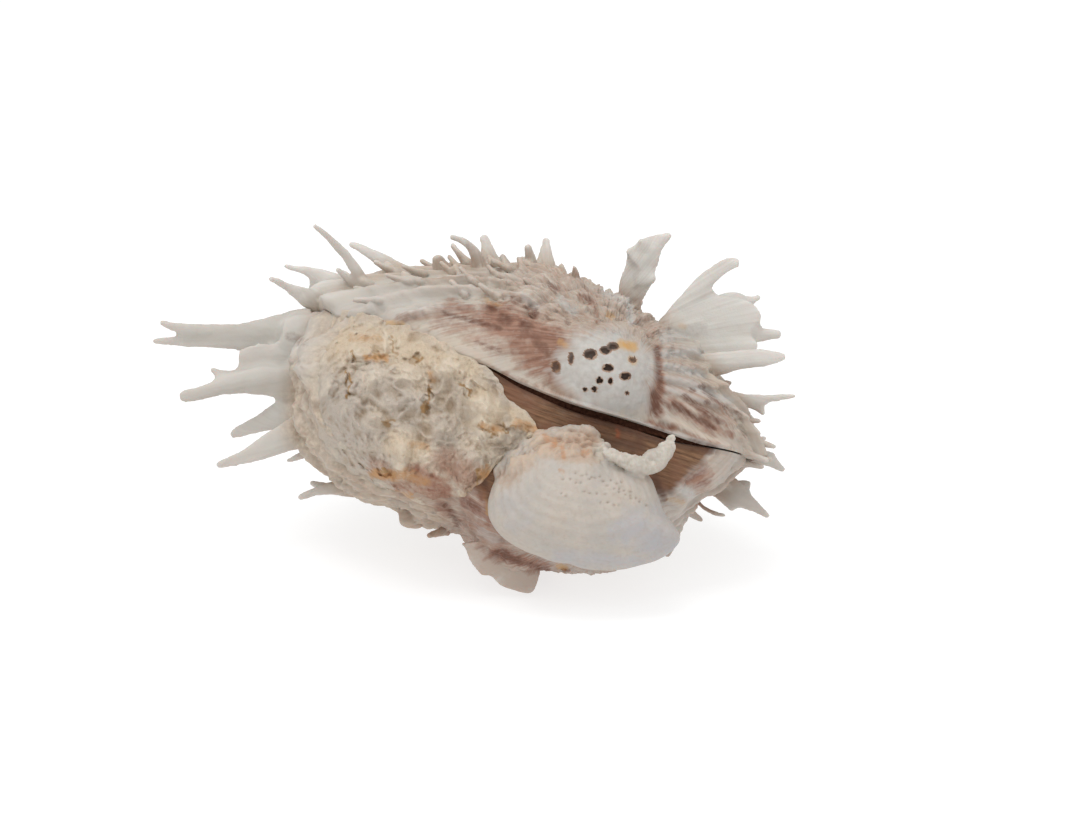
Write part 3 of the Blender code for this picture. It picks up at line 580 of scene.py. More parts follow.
def support_spines():
    """The two spines behind that the shell rests on."""
    spines = []
    for (aim_x, aim_y, aim_z), (x, y), widths in SUPPORTS.values():
        tip = np.array([x, y, ground_z(y)])
        t = np.linspace(0, 1, 40)[:, None]
        path = np.array([aim_x, aim_y, aim_z]) * (1 - t) + tip * t
        width = np.interp(t[:, 0], (0, 0.5, 1), widths)
        path, width = trim_root(ROOM[LOWER], path, width)
        spines.append(Spine(path, width, 0.5, (0, -1, 0), 16))
    return spines


def fine_strand(spine, seed):
    """A closed mesh round a spine's line, with a wavy edge."""
    path = spine.path
    along = np.gradient(path, axis=0)
    along /= np.linalg.norm(along, axis=1)[:, None]
    across = np.cross(along, np.array(spine.face, float))
    across /= np.linalg.norm(across, axis=1)[:, None]
    depth = np.cross(across, along)
    angle = np.arange(spine.sides) * 2 * math.pi / spine.sides
    share = np.linspace(0, 1, len(path))
    points = [path[0] - along[0] * 0.2]
    for i, centre in enumerate(path):
        width = spine.widths[i]
        thick = max(width * spine.flatness, 1.0)
        wave = 1 + 0.06 * noise.noise(Vector((share[i] * 7, seed, 0)))
        side = np.cos(angle) * width / 2 * wave
        deep = np.sin(angle) * thick / 2
        shift = 0.03 * width * noise.noise(Vector((share[i] * 5, 3.3, seed)))
        points += list(centre + np.outer(side + shift, across[i]) + np.outer(deep, depth[i]))
    points.append(path[-1] + along[-1] * 0.3)
    return closed_fan(points, len(path), spine.sides)


def root_of(side, spine):
    """Where a spine leaves the shell, in the shell frame, and how wide it is there."""
    shell = to_shell(spine.path)
    inside = np.flatnonzero(ROOM[side](shell) > 0)
    if len(inside) == 0:
        return None
    return shell[inside[-1]], spine.widths[inside[-1]]


def join(meshes):
    """One list of points and one of faces for all of these meshes."""
    points, faces = [], []
    for some, more in meshes:
        faces += [tuple(i + len(points) for i in face) for face in more]
        points += [tuple(p) for p in some]
    return np.array(points), faces


# The crust's edges, as x and y in pixels of the photograph, about CRUST_Y deep.
CRUST_Y = 5.0
CRUST_TOP = [(299, 330), (318, 313), (342, 309), (372, 316), (414, 330), (451, 346), (486, 365)]
CRUST_RIGHT = [(486, 365), (506, 392), (524, 411), (543, 432), (509, 457), (463, 498)]
CRUST_BOTTOM = [(374, 484), (405, 497), (435, 505), (463, 498)]
CRUST_LEFT = [(299, 330), (302, 375), (311, 420), (332, 460), (374, 484)]
CRUST_THICK, CRUST_EDGE, CRUST_ROUGH = 5.0, 0.6, 1.6
# Nodules on the crust: x, y and radius in pixels of the photograph, and height.
CRUST_NODULES = [(367, 349, 22, 2.4), (486, 410, 19, 2.0), (404, 447, 23, 1.6), (344, 388, 26, 1.3),
                 (446, 362, 24, 1.4)]
# Ridges and cracks of the crust, as strokes: two ends, half width and height in millimetres.
CRUST_RIDGES = [
    (350, 332, 350, 360, 4, 1.0), (385, 333, 386, 358, 4, 0.9), (352, 334, 382, 335, 4, 0.7),
    (352, 363, 380, 362, 4, 0.6), (385, 340, 450, 365, 6, 0.8), (440, 368, 480, 380, 8, 0.8),
    (478, 400, 494, 408, 10, 1.2), (476, 424, 498, 432, 7, 0.9), (395, 447, 417, 446, 8, 0.9),
    (505, 418, 535, 424, 7, 0.7),
    (482, 440, 503, 438, 6, 0.7), (468, 384, 470, 408, 5, 0.7), (540, 432, 508, 456, 4, 0.9),
    (508, 456, 466, 494, 4, 0.9), (408, 372, 412, 398, 5, 0.6), (322, 366, 326, 396, 6, 0.7),
    (436, 424, 452, 448, 7, 0.7), (360, 424, 378, 440, 7, 0.6), (380, 462, 412, 470, 6, 0.7),
    (424, 472, 450, 486, 6, 0.7),
]
CRUST_CRACKS = [
    (415, 359, 418, 360, 3, 1.3), (381, 472, 389, 473, 2.4, 1.4), (431, 386, 428, 406, 1.5, 1.0),
    (346, 370, 348, 397, 1.4, 0.9), (425, 398, 427, 412, 1.4, 0.8), (384, 421, 392, 423, 1.6, 0.6),
    (477, 472, 479, 482, 1.8, 0.8), (464, 384, 470, 396, 1.5, 0.8), (352, 352, 354, 360, 1.6, 0.7),
    (372, 352, 378, 360, 1.8, 0.7), (392, 340, 396, 352, 1.4, 0.6), (310, 388, 314, 394, 1.8, 0.6),
    (286, 390, 292, 392, 1.8, 0.6), (500, 424, 512, 428, 1.6, 0.7), (478, 428, 494, 434, 1.6, 0.7),
]
FINE_ACROSS, FINE_DOWN = 250, 190


def along_edge(corners, share):
    """Points at equal shares along an edge given by its corners."""
    corners = np.array(corners, float)
    marks = marks_along(corners)
    return np.stack([np.interp(share, marks / marks[-1], corners[:, k]) for k in (0, 1)], axis=1)


def crust_plan(columns, rows):
    """A grid of places between the crust's four edges, with each place's nearness to an edge."""
    u = np.linspace(0, 1, columns)
    v = np.linspace(0, 1, rows)
    top, bottom = along_edge(CRUST_TOP, u), along_edge(CRUST_BOTTOM, u)
    left, right = along_edge(CRUST_LEFT, v), along_edge(CRUST_RIGHT, v)
    uu, vv = np.meshgrid(u, v)
    uu, vv = uu[..., None], vv[..., None]
    ruled = (1 - vv) * top[None] + vv * bottom[None]
    ruled = ruled + (1 - uu) * left[:, None] + uu * right[:, None]
    corners = (1 - uu) * (1 - vv) * top[0] + uu * (1 - vv) * top[-1]
    corners = corners + (1 - uu) * vv * bottom[0] + uu * vv * bottom[-1]
    inland = np.minimum(np.minimum(uu, 1 - uu) * 2, np.minimum(vv, 1 - vv) * 2)[..., 0]
    return ruled - corners, inland


def slab(face, back):
    """A closed solid between two grids of points."""
    down, across = face.shape[:2]
    points = np.concatenate([face.reshape(-1, 3), back.reshape(-1, 3)])
    number = np.arange(down * across).reshape(down, across)
    faces = []
    for i in range(down - 1):
        for j in range(across - 1):
            quad = (number[i, j], number[i + 1, j], number[i + 1, j + 1], number[i, j + 1])
            faces.append(quad)
            faces.append(tuple(q + down * across for q in quad[::-1]))
    rim = list(number[0, :-1]) + list(number[:-1, -1])
    rim += list(number[-1, :0:-1]) + list(number[:0:-1, 0])
    for a, b in zip(rim, rim[1:] + rim[:1]):
        faces.append((a, b, b + down * across, a + down * across))
    return points, faces


def relief_of(spots, lines):
    """The height that raised strokes add at each of these places in the photograph."""
    total = np.zeros(len(spots))
    for *line, height in lines:
        total += height * strokes(spots, 0, [(*line, 1.0)])
    return total


def fine_crust():
    """The crust with its nodules, ridges, cracks and grit, and a ragged edge."""
    plan, inland = crust_plan(FINE_ACROSS, FINE_DOWN)
    spots, inland = plan.reshape(-1, 2), inland.ravel()
    flat = np.stack([spots[:, 0], spots[:, 1], np.zeros(len(spots))], axis=1) * PX
    ragged = 1 - smooth_step(inland, 0, 0.12)
    sway = [roughness_of(flat, 3.0, seed, 2) * ragged * 4.5 for seed in (11, 12)]
    x, z = from_photo(spots[:, 0] + sway[0], spots[:, 1] + sway[1], CRUST_Y)
    base = np.minimum(front_of(lower_room, x, z), front_of(upper_room, x, z))
    thick = CRUST_EDGE + (CRUST_THICK - CRUST_EDGE) * smooth_step(inland, 0, 0.45)
    for px, py, radius, height in CRUST_NODULES:
        near = 1 - ((spots[:, 0] - px) ** 2 + (spots[:, 1] - py) ** 2) / radius**2
        thick = thick + height * np.clip(near, 0, 1) ** 0.7
    points = np.stack([x, base, z], axis=1)
    thick = thick + CRUST_ROUGH * roughness_of(points, 6.5) * (0.3 + inland)
    grit = 1 - np.clip(cells_of(points, 1.3, 9) * 1.3, 0, 1)
    fine = craggy(points, 5.2, 1, 4) + 0.3 * grit + 0.15 * roughness_of(points, 0.8, 6)
    bent = spots + np.stack([roughness_of(points, 2.4, seed, 2) for seed in (15, 16)], axis=1) * 7
    fine = fine + relief_of(bent, CRUST_RIDGES) - relief_of(bent, CRUST_CRACKS) - 0.3
    fine = fine * (0.4 + 0.6 * smooth_step(inland, 0, 0.16))
    shape = (FINE_DOWN, FINE_ACROSS, 3)
    face = np.stack([x, base - np.maximum(thick + fine, 0.15), z], axis=1).reshape(shape)
    back = np.stack([x, base + 0.8, z], axis=1).reshape(shape)
    obj = mesh_object("reef_crust_fine", slab(face, back))
    soften(obj, 1, 0.4)
    # The back has the height of a hollow, so the crust's sides darken towards the shell: painted shade.
    height = np.concatenate([fine, np.full(len(fine), -1.0)])
    dress_crust(obj, height, in_photo(places(obj)))
    return obj


# Colours of the crust, as strokes in pixels of the photograph.
RED_CRUST = [(420, 476, 440, 492, 15, 0.8), (446, 462, 470, 480, 16, 0.6), (430, 500, 456, 504, 8, 0.8),
             (400, 486, 424, 492, 8, 0.6), (376, 466, 396, 480, 10, 0.5)]
ORANGE_CRUST = [(366, 357, 386, 358, 4, 0.8), (352, 337, 378, 339, 5, 0.4), (374, 474, 396, 476, 5, 0.8),
                (482, 426, 500, 430, 4, 0.7), (518, 424, 536, 430, 5, 0.7), (382, 494, 410, 496, 4, 0.6),
                (405, 474, 425, 482, 6, 0.6), (412, 444, 428, 446, 4, 0.4), (486, 474, 500, 496, 7, 0.9),
                (430, 372, 433, 380, 4, 0.4)]
GREY_CRUST = [(330, 395, 350, 430, 34, 0.8), (388, 396, 412, 412, 20, 0.7), (345, 455, 372, 470, 22, 0.7),
              (432, 410, 448, 436, 14, 0.6), (310, 360, 318, 400, 14, 0.7)]
CREAM_CRUST = [(476, 400, 498, 412, 10, 1.0), (474, 424, 500, 432, 6, 0.8), (506, 410, 530, 424, 6, 0.8),
               (340, 340, 400, 345, 18, 0.8), (400, 345, 470, 372, 12, 0.8), (480, 396, 492, 420, 14, 0.9),
               (515, 418, 540, 432, 8, 0.8), (543, 432, 509, 457, 4, 1.0), (509, 457, 463, 497, 4, 1.0),
               (396, 444, 418, 452, 12, 0.8), (404, 470, 440, 482, 7, 0.6)]


def dress_crust(obj, height, spots):
    points = places(obj)
    shake = 0.4 * roughness_of(points, 1.8, 31, 2)
    store(obj, "place", points)
    store(obj, "height", height)
    sway = np.stack([roughness_of(points, 2.4, seed, 2) for seed in (15, 16)], axis=1) * 7
    cracks = strokes(spots + sway, 0.5 * shake, CRUST_CRACKS)
    for name, lines in (("red", RED_CRUST), ("orange", ORANGE_CRUST), ("grey", GREY_CRUST),
                        ("cream", CREAM_CRUST)):
        store(obj, name, strokes(spots, shake, lines))
    # The cracks are darkened: painted shade in them.
    store(obj, "dark", np.clip(cracks * 1.2, 0, 1))


# The small shell that has grown on the flat face under the hinge: its outline and the
# middle of its dome, as x and y in pixels of the photograph, ATTACHED_RIM_Y deep.
ATTACHED_OUTLINE = [
    (489, 518), (489, 498), (496, 478), (508, 460), (524, 446), (541, 435), (560, 431), (578, 429),
    (596, 436), (608, 452), (622, 463), (638, 468), (651, 478), (656, 493), (661, 507), (667, 519),
    (677, 528), (682, 536), (677, 547), (665, 556), (650, 562), (635, 566), (618, 569), (601, 569),
    (570, 563), (540, 556), (518, 547), (499, 534),
]
ATTACHED_MIDDLE = (582, 508)
UMBO = (572, 448)
ATTACHED_HEIGHT = 9.0
ATTACHED_RIM_Y = -9.0
ATTACHED_RIM_LEAN = 0.15
ATTACHED_RIM_THICK = 4.5
ATTACHED_VOXEL = 0.34
RIM_SMOOTHINGS = 3
# The curl's middle line, as x, y and width in pixels of the photograph, and its depth.
CURL = [(600, 450, 9), (611, 455, 13), (624, 460, 16), (638, 465, 19), (650, 464, 23), (661, 456, 22),
        (668, 447, 16), (672, 438, 6)]
CURL_Y = [-10.5, -12.0, -13.0, -12.5, -11.0, -9.6, -8.6, -8.0]
# Lumps along the small shell's top edge: x and y in pixels of the photograph, the depth of
# the middle in millimetres, and radii across, deep and up.
KNOBS = [
    (587, 436, -6.6, 2.4, 2.6, 2.3), (571, 432, -6.2, 2.0, 2.4, 1.5), (557, 434, -6.0, 2.0, 2.4, 1.5),
    (543, 441, -6.2, 2.3, 2.4, 1.8), (528, 448, -6.4, 2.3, 2.2, 1.8), (561, 447, -7.8, 2.2, 2.4, 2.0),
    (577, 450, -8.4, 2.4, 2.4, 1.9), (514, 459, -6.6, 2.2, 2.0, 1.9), (543, 457, -8.0, 2.4, 2.0, 1.5),
    (597, 449, -8.4, 1.9, 2.2, 1.8), (503, 472, -6.8, 2.0, 1.8, 1.9), (524, 465, -8.4, 2.2, 1.6, 1.4),
]


def rim_round(centre, angles):
    """How far the small shell's outline is from a place in the photograph at each angle."""
    outline = np.array(ATTACHED_OUTLINE, float) - centre
    turns = np.arctan2(outline[:, 1], outline[:, 0])
    order = np.argsort(turns)
    size = np.hypot(outline[:, 0], outline[:, 1])[order]
    return np.interp(angles, turns[order], size, period=2 * math.pi)


def attached_mesh(around, rings):
    """A low dome on its rim, with a back inside the larger shell."""
    angles = np.arange(around) * 2 * math.pi / around
    radius = rim_round(ATTACHED_MIDDLE, angles)
    smooth = np.array([0.25, 0.5, 0.25])
    for _ in range(RIM_SMOOTHINGS):
        radius = np.convolve(np.concatenate([radius[-1:], radius, radius[:1]]), smooth, "valid")
    ring = np.stack([np.cos(angles), np.sin(angles)], axis=1) * radius[:, None]
    points = [attached_point(np.zeros((1, 2)), ATTACHED_HEIGHT)[0]]
    for share in np.arange(1, rings + 1) / rings:
        points += list(attached_point(ring * share, ATTACHED_HEIGHT * (1 - share**2.2) ** 0.62))
    points += list(attached_point(ring, -ATTACHED_RIM_THICK))
    points.append(attached_point(np.zeros((1, 2)), -ATTACHED_RIM_THICK)[0])
    return closed_fan(points, rings + 1, around, flip=True)


def attached_point(away, height):
    """Points of the dome, from their way from its middle in pixels and their height."""
    spots = away + ATTACHED_MIDDLE
    level = ATTACHED_RIM_Y - ATTACHED_RIM_LEAN * away[:, 1] * PX
    x, z = from_photo(spots[:, 0], spots[:, 1], ATTACHED_RIM_Y)
    return np.stack([x, level - height, z], axis=1)


def ball(centre, radii, rings=16, around=24):
    """A closed egg shape in the upright frame."""
    points = [(0, 0, 1)]
    for ring in range(1, rings):
        polar = math.pi * ring / rings
        for k in range(around):
            turn = 2 * math.pi * k / around
            level = (math.sin(polar) * math.cos(turn), math.sin(polar) * math.sin(turn))
            points.append((*level, math.cos(polar)))
    points.append((0, 0, -1))
    return closed_fan(np.array(points) * radii + centre, rings - 1, around)


def smooth_curl():
    line = smooth_line(CURL, 40)
    y = np.interp(np.linspace(0, 1, 40), np.linspace(0, 1, len(CURL_Y)), CURL_Y)
    x, z = from_photo(line[:, 0], line[:, 1], y)
    spine = Spine(np.stack([x, y, z], axis=1), line[:, 2] * pixel_at(y), 0.6, (0, -1, 0), 20)
    return fine_strand(spine, 1.0)


def fine_attached():
    """The small shell with its knobs and its curl, grown into one."""
    meshes = [attached_mesh(180, 60), smooth_curl()]
    for px, py, y, *radii in KNOBS:
        x, z = from_photo(px, py, y)
        meshes.append(ball((x, y, z), radii))
    obj = mesh_object("attached_shell_fine", join(meshes))
    remesh(obj, ATTACHED_VOXEL)
    soften(obj, 4, 0.6)
    points = places(obj)
    spots = in_photo(points)
    away = spots - UMBO
    angle = np.arctan2(away[:, 1], away[:, 0])
    share = np.hypot(away[:, 0], away[:, 1]) / rim_round(UMBO, angle)
    knobby = strokes(spots, 0, KNOBBY) * (points[:, 1] > -14)
    curly = strokes(spots, 0, CURL_AREA)
    dome = (1 - smooth_step(share, 0.99, 1.06)) * (1 - knobby) * (1 - curly)
    wave = 1.6 * roughness_of(points, 7, 4)
    growth = np.cos(share * 62 + wave) * smooth_step(share, 0.2, 0.5)
    fold = knobby * craggy(points, 4.0, 7, 3)
    pores = strokes(spots, 0, PORES)
    relief = 0.07 * growth * dome + 0.22 * roughness_of(points, 5.5, 5)
    relief = relief + 0.07 * roughness_of(points, 1.4, 6) + 0.7 * fold - 0.35 * pores
    relief = relief + 0.5 * curly * craggy(points, 3.0, 8, 3) * (points[:, 1] < -6)
    push(obj, relief)
    shake = 0.4 * roughness_of(points, 1.8, 31, 2)
    store(obj, "place", points)
    store(obj, "ray", np.stack([share * 9, np.cos(angle) * 1.5, np.sin(angle) * 1.5], axis=1))
    store(obj, "line", np.stack([share * 0.5, np.cos(angle) * 20, np.sin(angle) * 20], axis=1))
    # The folds' height, which the material uses for painted shade in the creases and a painted highlight on
    # the knobs.
    store(obj, "fold", fold)
    store(obj, "pore", np.clip(pores, 0, 1))
    for name, lines in (("grey", DOME_LOW_SIDE_SHADE), ("orange", KNOB_ORANGE), ("cream", KNOB_CREAM),
                        ("white", CURL_WHITE)):
        store(obj, name, strokes(spots, shake, lines))
    return obj


# Where the small shell is knobby and where its curl is, and its colours, as strokes.
KNOBBY = [(506, 468, 543, 444, 11, 1), (543, 444, 590, 436, 13, 1), (560, 452, 598, 448, 9, 1)]
CURL_AREA = [(604, 452, 640, 464, 11, 1), (640, 464, 670, 446, 12, 1)]
# The grey strokes on the dome's lower, left and right slopes are painted shade.
DOME_LOW_SIDE_SHADE = [(636, 530, 668, 545, 22, 0.8), (560, 556, 640, 562, 8, 0.6), (660, 505, 672, 530, 8, 0.5),
             (510, 500, 520, 520, 16, 0.4)]
KNOB_ORANGE = [(555, 438, 554, 446, 3, 0.7), (562, 448, 564, 458, 2.4, 0.6), (546, 438, 548, 440, 3, 0.5),
               (583, 452, 590, 453, 3, 0.5), (560, 470, 562, 472, 3, 0.3)]
KNOB_CREAM = [(545, 446, 590, 440, 12, 0.8), (506, 480, 530, 458, 9, 0.5), (560, 455, 600, 455, 8, 0.7)]
CURL_WHITE = [(602, 451, 622, 458, 8, 0.9), (622, 460, 652, 464, 10, 1.1), (660, 457, 672, 441, 8, 1.1)]


def pore_rows():
    """Short rows of tiny holes on the dome, along its growth lines."""
    rows = []
    for px, py, count, slope in ((562, 478, 4, 0.5), (574, 474, 5, 0.2), (590, 478, 6, 0.25),
                                 (606, 486, 5, 0.35), (618, 492, 4, 0.5), (584, 492, 4, 0.2),
                                 (600, 502, 4, 0.3), (632, 498, 3, 0.9), (560, 494, 2, 0.3)):
        for k in range(count):
            at_x = px + k * 6.5 + 1.5 * math.sin(px + 5 * k)
            at_y = py + k * 6.5 * slope * 0.6 + 1.2 * math.cos(py + 3 * k)
            rows.append((at_x, at_y, at_x + 0.5, at_y, 1.0, 0.8))
    return rows


PORES = pore_rows()

# The dark ligament in the slot along the hinge, in the shell frame.
LIGAMENT_LEFT, LIGAMENT_RIGHT = -25.0, 21.0
LIGAMENT_FRONT, LIGAMENT_BACK = 0.5, 4.0
LIGAMENT_TOP = 0.14
LIGAMENT_DROP = 1.6  # how far it reaches down in the middle


def fine_ligament():
    """A strip between the valves, thickest in the middle of the hinge."""
    stations = np.linspace(LIGAMENT_LEFT, LIGAMENT_RIGHT, 160)
    middle = (LIGAMENT_LEFT + LIGAMENT_RIGHT) / 2
    half = (LIGAMENT_RIGHT - LIGAMENT_LEFT) / 2
    face, back = [], []
    for x in stations:
        drop = LIGAMENT_DROP * (1 - 0.75 * abs((x - middle) / half) ** 2)
        rows, deeps = [], []
        for share in np.linspace(0, 1, 7):
            z = LIGAMENT_TOP - drop * share
            bulge = 0.3 * noise.noise(Vector((x / 1.4, z / 0.5, 2.0)))
            rows.append((x, LIGAMENT_FRONT + bulge, z))
            deeps.append((x, LIGAMENT_BACK, z))
        face.append(rows)
        back.append(deeps)
    points, faces = slab(np.array(face), np.array(back))
    points[:, 2] -= seam_sag(points)
    return to_upright(points), faces


def spoke_of(side, ways):
    """The spoke that each way from the heart lies on, and how far out along it."""
    plan_x = ways[:, 0] + PLAN_SKEW * ways[:, 1]
    plan_y = ways[:, 1]
    flat = np.hypot(plan_x, plan_y)
    polar = np.arctan2(flat, side * ways[:, 2]) / (math.pi / 2)
    polar = np.minimum(polar, 1.0)
    point = np.stack([plan_x, plan_y], axis=1) / np.maximum(flat, 1e-9)[:, None] * polar[:, None]
    beak = BEAK_IN_PLAN[side]
    step = point - beak
    a = (step**2).sum(1)
    b = (step * beak).sum(1)
    c = (beak**2).sum() - 1
    stretch = (-b + np.sqrt(b * b - a * c)) / np.maximum(a, 1e-9)
    edge = beak + step * stretch[:, None]
    return np.arctan2(edge[:, 1], edge[:, 0]), 1 / np.maximum(stretch, 1.0)


# The fine form of the valves.
FINE_SPOKES, FINE_RINGS = 13 * RIBS, 124
RIBLETS = 4 * RIBS
RIBLET_HEIGHT = 0.07
GROWTH_STEP, GROWTH_HEIGHT = 0.045, 0.25
LIP_HEIGHT = 0.7
ROUGHNESS = [(0.28, 3.2, 2), (0.14, 1.1, 3)]  # height, length of the features and seed
BAND_HEIGHT = 0.07  # of the level lines on the flat face under the hinge
SWELL_FADE = 42.0, 60.0  # the outline's own shifts fade out over these depths
SEAM_WAVE = 0.35
SAG_WIDE, SAG_NARROW = 1.0, 0.7
GRAIN_HEIGHT = 0.5
# The worn beak, where the grain is rubbed off.
SMOOTH_PATCH = [(590, 368, 620, 374, 34, 1.0)]
KEEL_HEIGHT = 0.16  # of the width of the spine that the keel leads up to

# Parts of the valves with a crumpled surface, and ridges, as strokes in the photograph.
CRAGGY = {
    UPPER: [(500, 296, 560, 300, 26, 0.8), (560, 304, 632, 316, 24, 1.0), (640, 330, 660, 345, 12, 0.7)],
    LOWER: [(318, 372, 322, 420, 46, 1.0), (345, 462, 440, 520, 34, 0.9), (300, 350, 330, 340, 22, 0.8),
            (450, 520, 530, 556, 20, 0.6)],
}
RAISED = {
    UPPER: [
        (598, 366, 612, 372, 38, 1.2), (664, 364, 704, 368, 4, 1.1), (666, 378, 716, 386, 4, 1.1),
        (666, 390, 720, 404, 4, 1.0), (668, 400, 730, 422, 4, 1.0), (662, 413, 724, 444, 4, 1.2),
        (664, 352, 700, 350, 5, 1.0), (654, 330, 684, 322, 6, 0.8), (556, 376, 590, 404, 6, 0.7),
        (640, 338, 664, 346, 5, 0.9),
        (700, 394, 736, 416, 4, 0.9), (700, 410, 740, 436, 4, 0.8), (510, 300, 540, 296, 6, 0.7),
        (540, 312, 572, 308, 6, 0.7), (586, 312, 618, 306, 6, 0.7), (560, 328, 584, 334, 6, 0.7),
        (560, 340, 575, 338, 6, 0.5), (655, 396, 657, 410, 5, -0.5), (657, 352, 658, 388, 4, -0.5),
    ],
    LOWER: [
        (712, 450, 680, 479, 3, 0.7), (680, 479, 672, 491, 3, 0.7), (676, 486, 686, 494, 6, 0.8),
        (666, 498, 684, 504, 5, 0.7), (484, 484, 492, 506, 5, -0.9), (484, 532, 494, 540, 7, 0.8),
        (450, 512, 470, 524, 5, 0.6), (464, 540, 490, 552, 6, 0.6), (497, 552, 520, 562, 4, -0.5),
        (440, 504, 448, 512, 3, -0.4),
    ],
}


# Where the outline swells or shrinks, as strokes with a height in millimetres.
SWELL = {
    UPPER: [(318, 300, 332, 294, 22, 3.0), (396, 266, 474, 260, 18, -1.2), (640, 310, 660, 320, 14, -0.8),
            (500, 262, 530, 262, 10, -1.0)],
    LOWER: [(300, 338, 312, 350, 26, 3.0), (384, 514, 446, 550, 21, -3.2), (704, 505, 688, 538, 14, -1.8),
            (512, 562, 520, 566, 13, 2.0)],
}


def skin_grain(side, plain, turn, out):
    """The crumpled grain of a valve's outside, drawn out along its ribs."""
    along = np.stack([np.cos(turn) * 26, np.sin(turn) * 26, out * 34 + side * 50], axis=1)
    shake = roughness_of(plain, 9, 51)
    return craggy(along + shake[:, None] * 2.0, 3.4, 5) * (0.7 + 0.9 * shake)


def keels(points, roots):
    """Low keels on the shell that lead up to the roots of its spines."""
    total = np.zeros(len(points))
    for root, width in roots:
        outward = (root - HEART) * np.array([1, 1, 0.4])
        outward /= np.linalg.norm(outward)
        away = points - root
        along = away @ outward
        aside = np.linalg.norm(away - along[:, None] * outward, axis=1)
        near = np.exp(-((aside / (0.42 * width)) ** 2) - (along / (1.1 * width)) ** 2)
        total = np.maximum(total, KEEL_HEIGHT * width * near)
    return total


def fine_points(side, turn, out, roots):
    """Points of a valve's outside with ribs, riblets, growth steps, lumps and roughness."""
    ways = ways_of(side, turn, out)
    far = reach(ROOM[side], ways)
    plain = HEART + ways * far[:, None]
    spots = in_photo(to_upright(plain))
    front = plain[:, 1] < FRONT_DEPTH
    behind = smooth_step(plain[:, 1], *HINGE_FADE)
    round_front = smooth_step(plain[:, 1], -0.5, 5.0)
    wander = roughness_of(plain, 11, 1)
    flutes = np.cos(RIBS * turn + 0.6 * wander) + 0.55 * np.cos(2 * RIBS * turn + 1.5 * wander)
    ribs = RIB_HEIGHT * flutes * (0.8 + 0.8 * wander) * (1 + 1.2 * smooth_step(out, 0.45, 0.9))
    ribs = ribs * behind * smooth_step(out, *RIB_FADE)
    fade = smooth_step(out, *POLE_FADE)
    riblets = RIBLET_HEIGHT * np.cos(RIBLETS * turn + 3.0 * wander) * (0.7 + 0.6 * wander)
    phase = out / GROWTH_STEP + 1.1 * wander + 0.12 * np.cos(RIBS * turn)
    growth = GROWTH_HEIGHT * (phase - np.floor(phase)) ** 2 * (0.5 + 0.9 * wander)
    streaks = round_front if side == UPPER else behind
    relief = ribs + (riblets + growth) * fade * streaks
    for height, length, seed in ROUGHNESS:
        relief = relief + height * roughness_of(plain, length, seed)
    rough = strokes(spots, 0, CRAGGY[side]) * front
    smooth = strokes(spots, 0, SMOOTH_PATCH) * front if side == UPPER else 0.0
    grain = skin_grain(side, plain, turn, out)
    relief = relief + GRAIN_HEIGHT * grain * fade * behind * (1 - smooth)
    relief = relief + rough * (craggy(plain, 4.4, 3, 4) + 0.2)
    relief = relief + relief_of(spots, RAISED[side]) * front
    relief = relief + relief_of(spots, SWELL[side]) * (1 - smooth_step(plain[:, 1], *SWELL_FADE))
    edge = 1 - smooth_step(out, 0.97, 1.0)
    if side == UPPER:
        lip = (1 - round_front) * smooth_step(out, 0.90, 0.96)
        relief = relief + LIP_HEIGHT * lip
    else:
        flat = 1 - behind
        bands = np.cos(plain[:, 2] * 5.2 + 2.0 * wander) + 0.6 * np.cos(plain[:, 2] * 11.7 + wander * 5)
        relief = relief + BAND_HEIGHT * bands * flat
    settled = behind * (1 - smooth_step(out, *EDGE_FADE))
    far = far + relief * (0.35 + 0.65 * edge) + lumps(plain) * settled + keels(plain, roots)
    return HEART + ways * far[:, None]


def seam_sag(points):
    """How far the seam sags below a straight line along the hinge, for points near it."""
    wide = SAG_WIDE * (1 - smooth_step(np.abs(points[:, 0] - 1), 17, 27))
    narrow = SAG_NARROW * np.exp(-(((points[:, 0] + 7) / 9) ** 2))
    near = np.exp(-((points[:, 2] / 5) ** 2)) * (1 - smooth_step(points[:, 1], 2, 14))
    return (wide + narrow) * near


def seam_wave(points, turn):
    """The small waves in which the valves' edges meet away from the hinge, and their sag at it."""
    away = smooth_step(points[:, 1], 8, 24)
    near = np.exp(-np.abs(points[:, 2]) / 5)
    points[:, 2] += SEAM_WAVE * np.cos(RIBS * turn) * away * near - seam_sag(points)
    return points


def fine_valve(side, roots):
    """A closed valve with a fine outside and a plain inside."""
    turn = np.arange(FINE_SPOKES) * 2 * math.pi / FINE_SPOKES
    rings = []
    for ring in range(1, FINE_RINGS + 1):
        out = np.full(FINE_SPOKES, (ring / FINE_RINGS) ** 1.15)
        rings.append(seam_wave(fine_points(side, turn, out, roots), turn))
    for ring in (5, 4, 3, 2, 1):
        out = np.full(FINE_SPOKES, (ring / 5) ** RING_CROWDING)
        thick = THICK_AT_BEAK + (THICK_AT_EDGE - THICK_AT_BEAK) * out[0]
        ways = ways_of(side, turn, out)
        inner = HEART + ways * (reach(ROOM[side], ways) - thick)[:, None]
        rings.append(seam_wave(inner, turn))
    nought = np.zeros(1)
    way = ways_of(side, nought, nought)
    hollow = HEART + way[0] * (reach(ROOM[side], way)[0] - THICK_AT_BEAK)
    lift = np.array([0, 0, side * VALVE_GAP])
    points = [fine_points(side, nought, nought, roots)[0] + lift]
    points += [p + lift for ring in rings for p in ring]
    points.append(hollow + lift)
    points, faces = closed_fan(points, len(rings), FINE_SPOKES, flip=side == LOWER)
    return to_upright(points), faces


def added(name, data):
    """A new object with this data, in the scene."""
    obj = bpy.data.objects.new(name, data)
    bpy.context.scene.collection.objects.link(obj)
    return obj


def mesh_object(name, mesh_parts):
    """A smooth mesh object that stands in the resting frame, made in the upright frame."""
    points, faces = mesh_parts
    mesh = bpy.data.meshes.new(name)
    mesh.from_pydata((np.array(points) * MM).tolist(), [], faces)
    mesh.shade_smooth()
    return added(name, mesh)


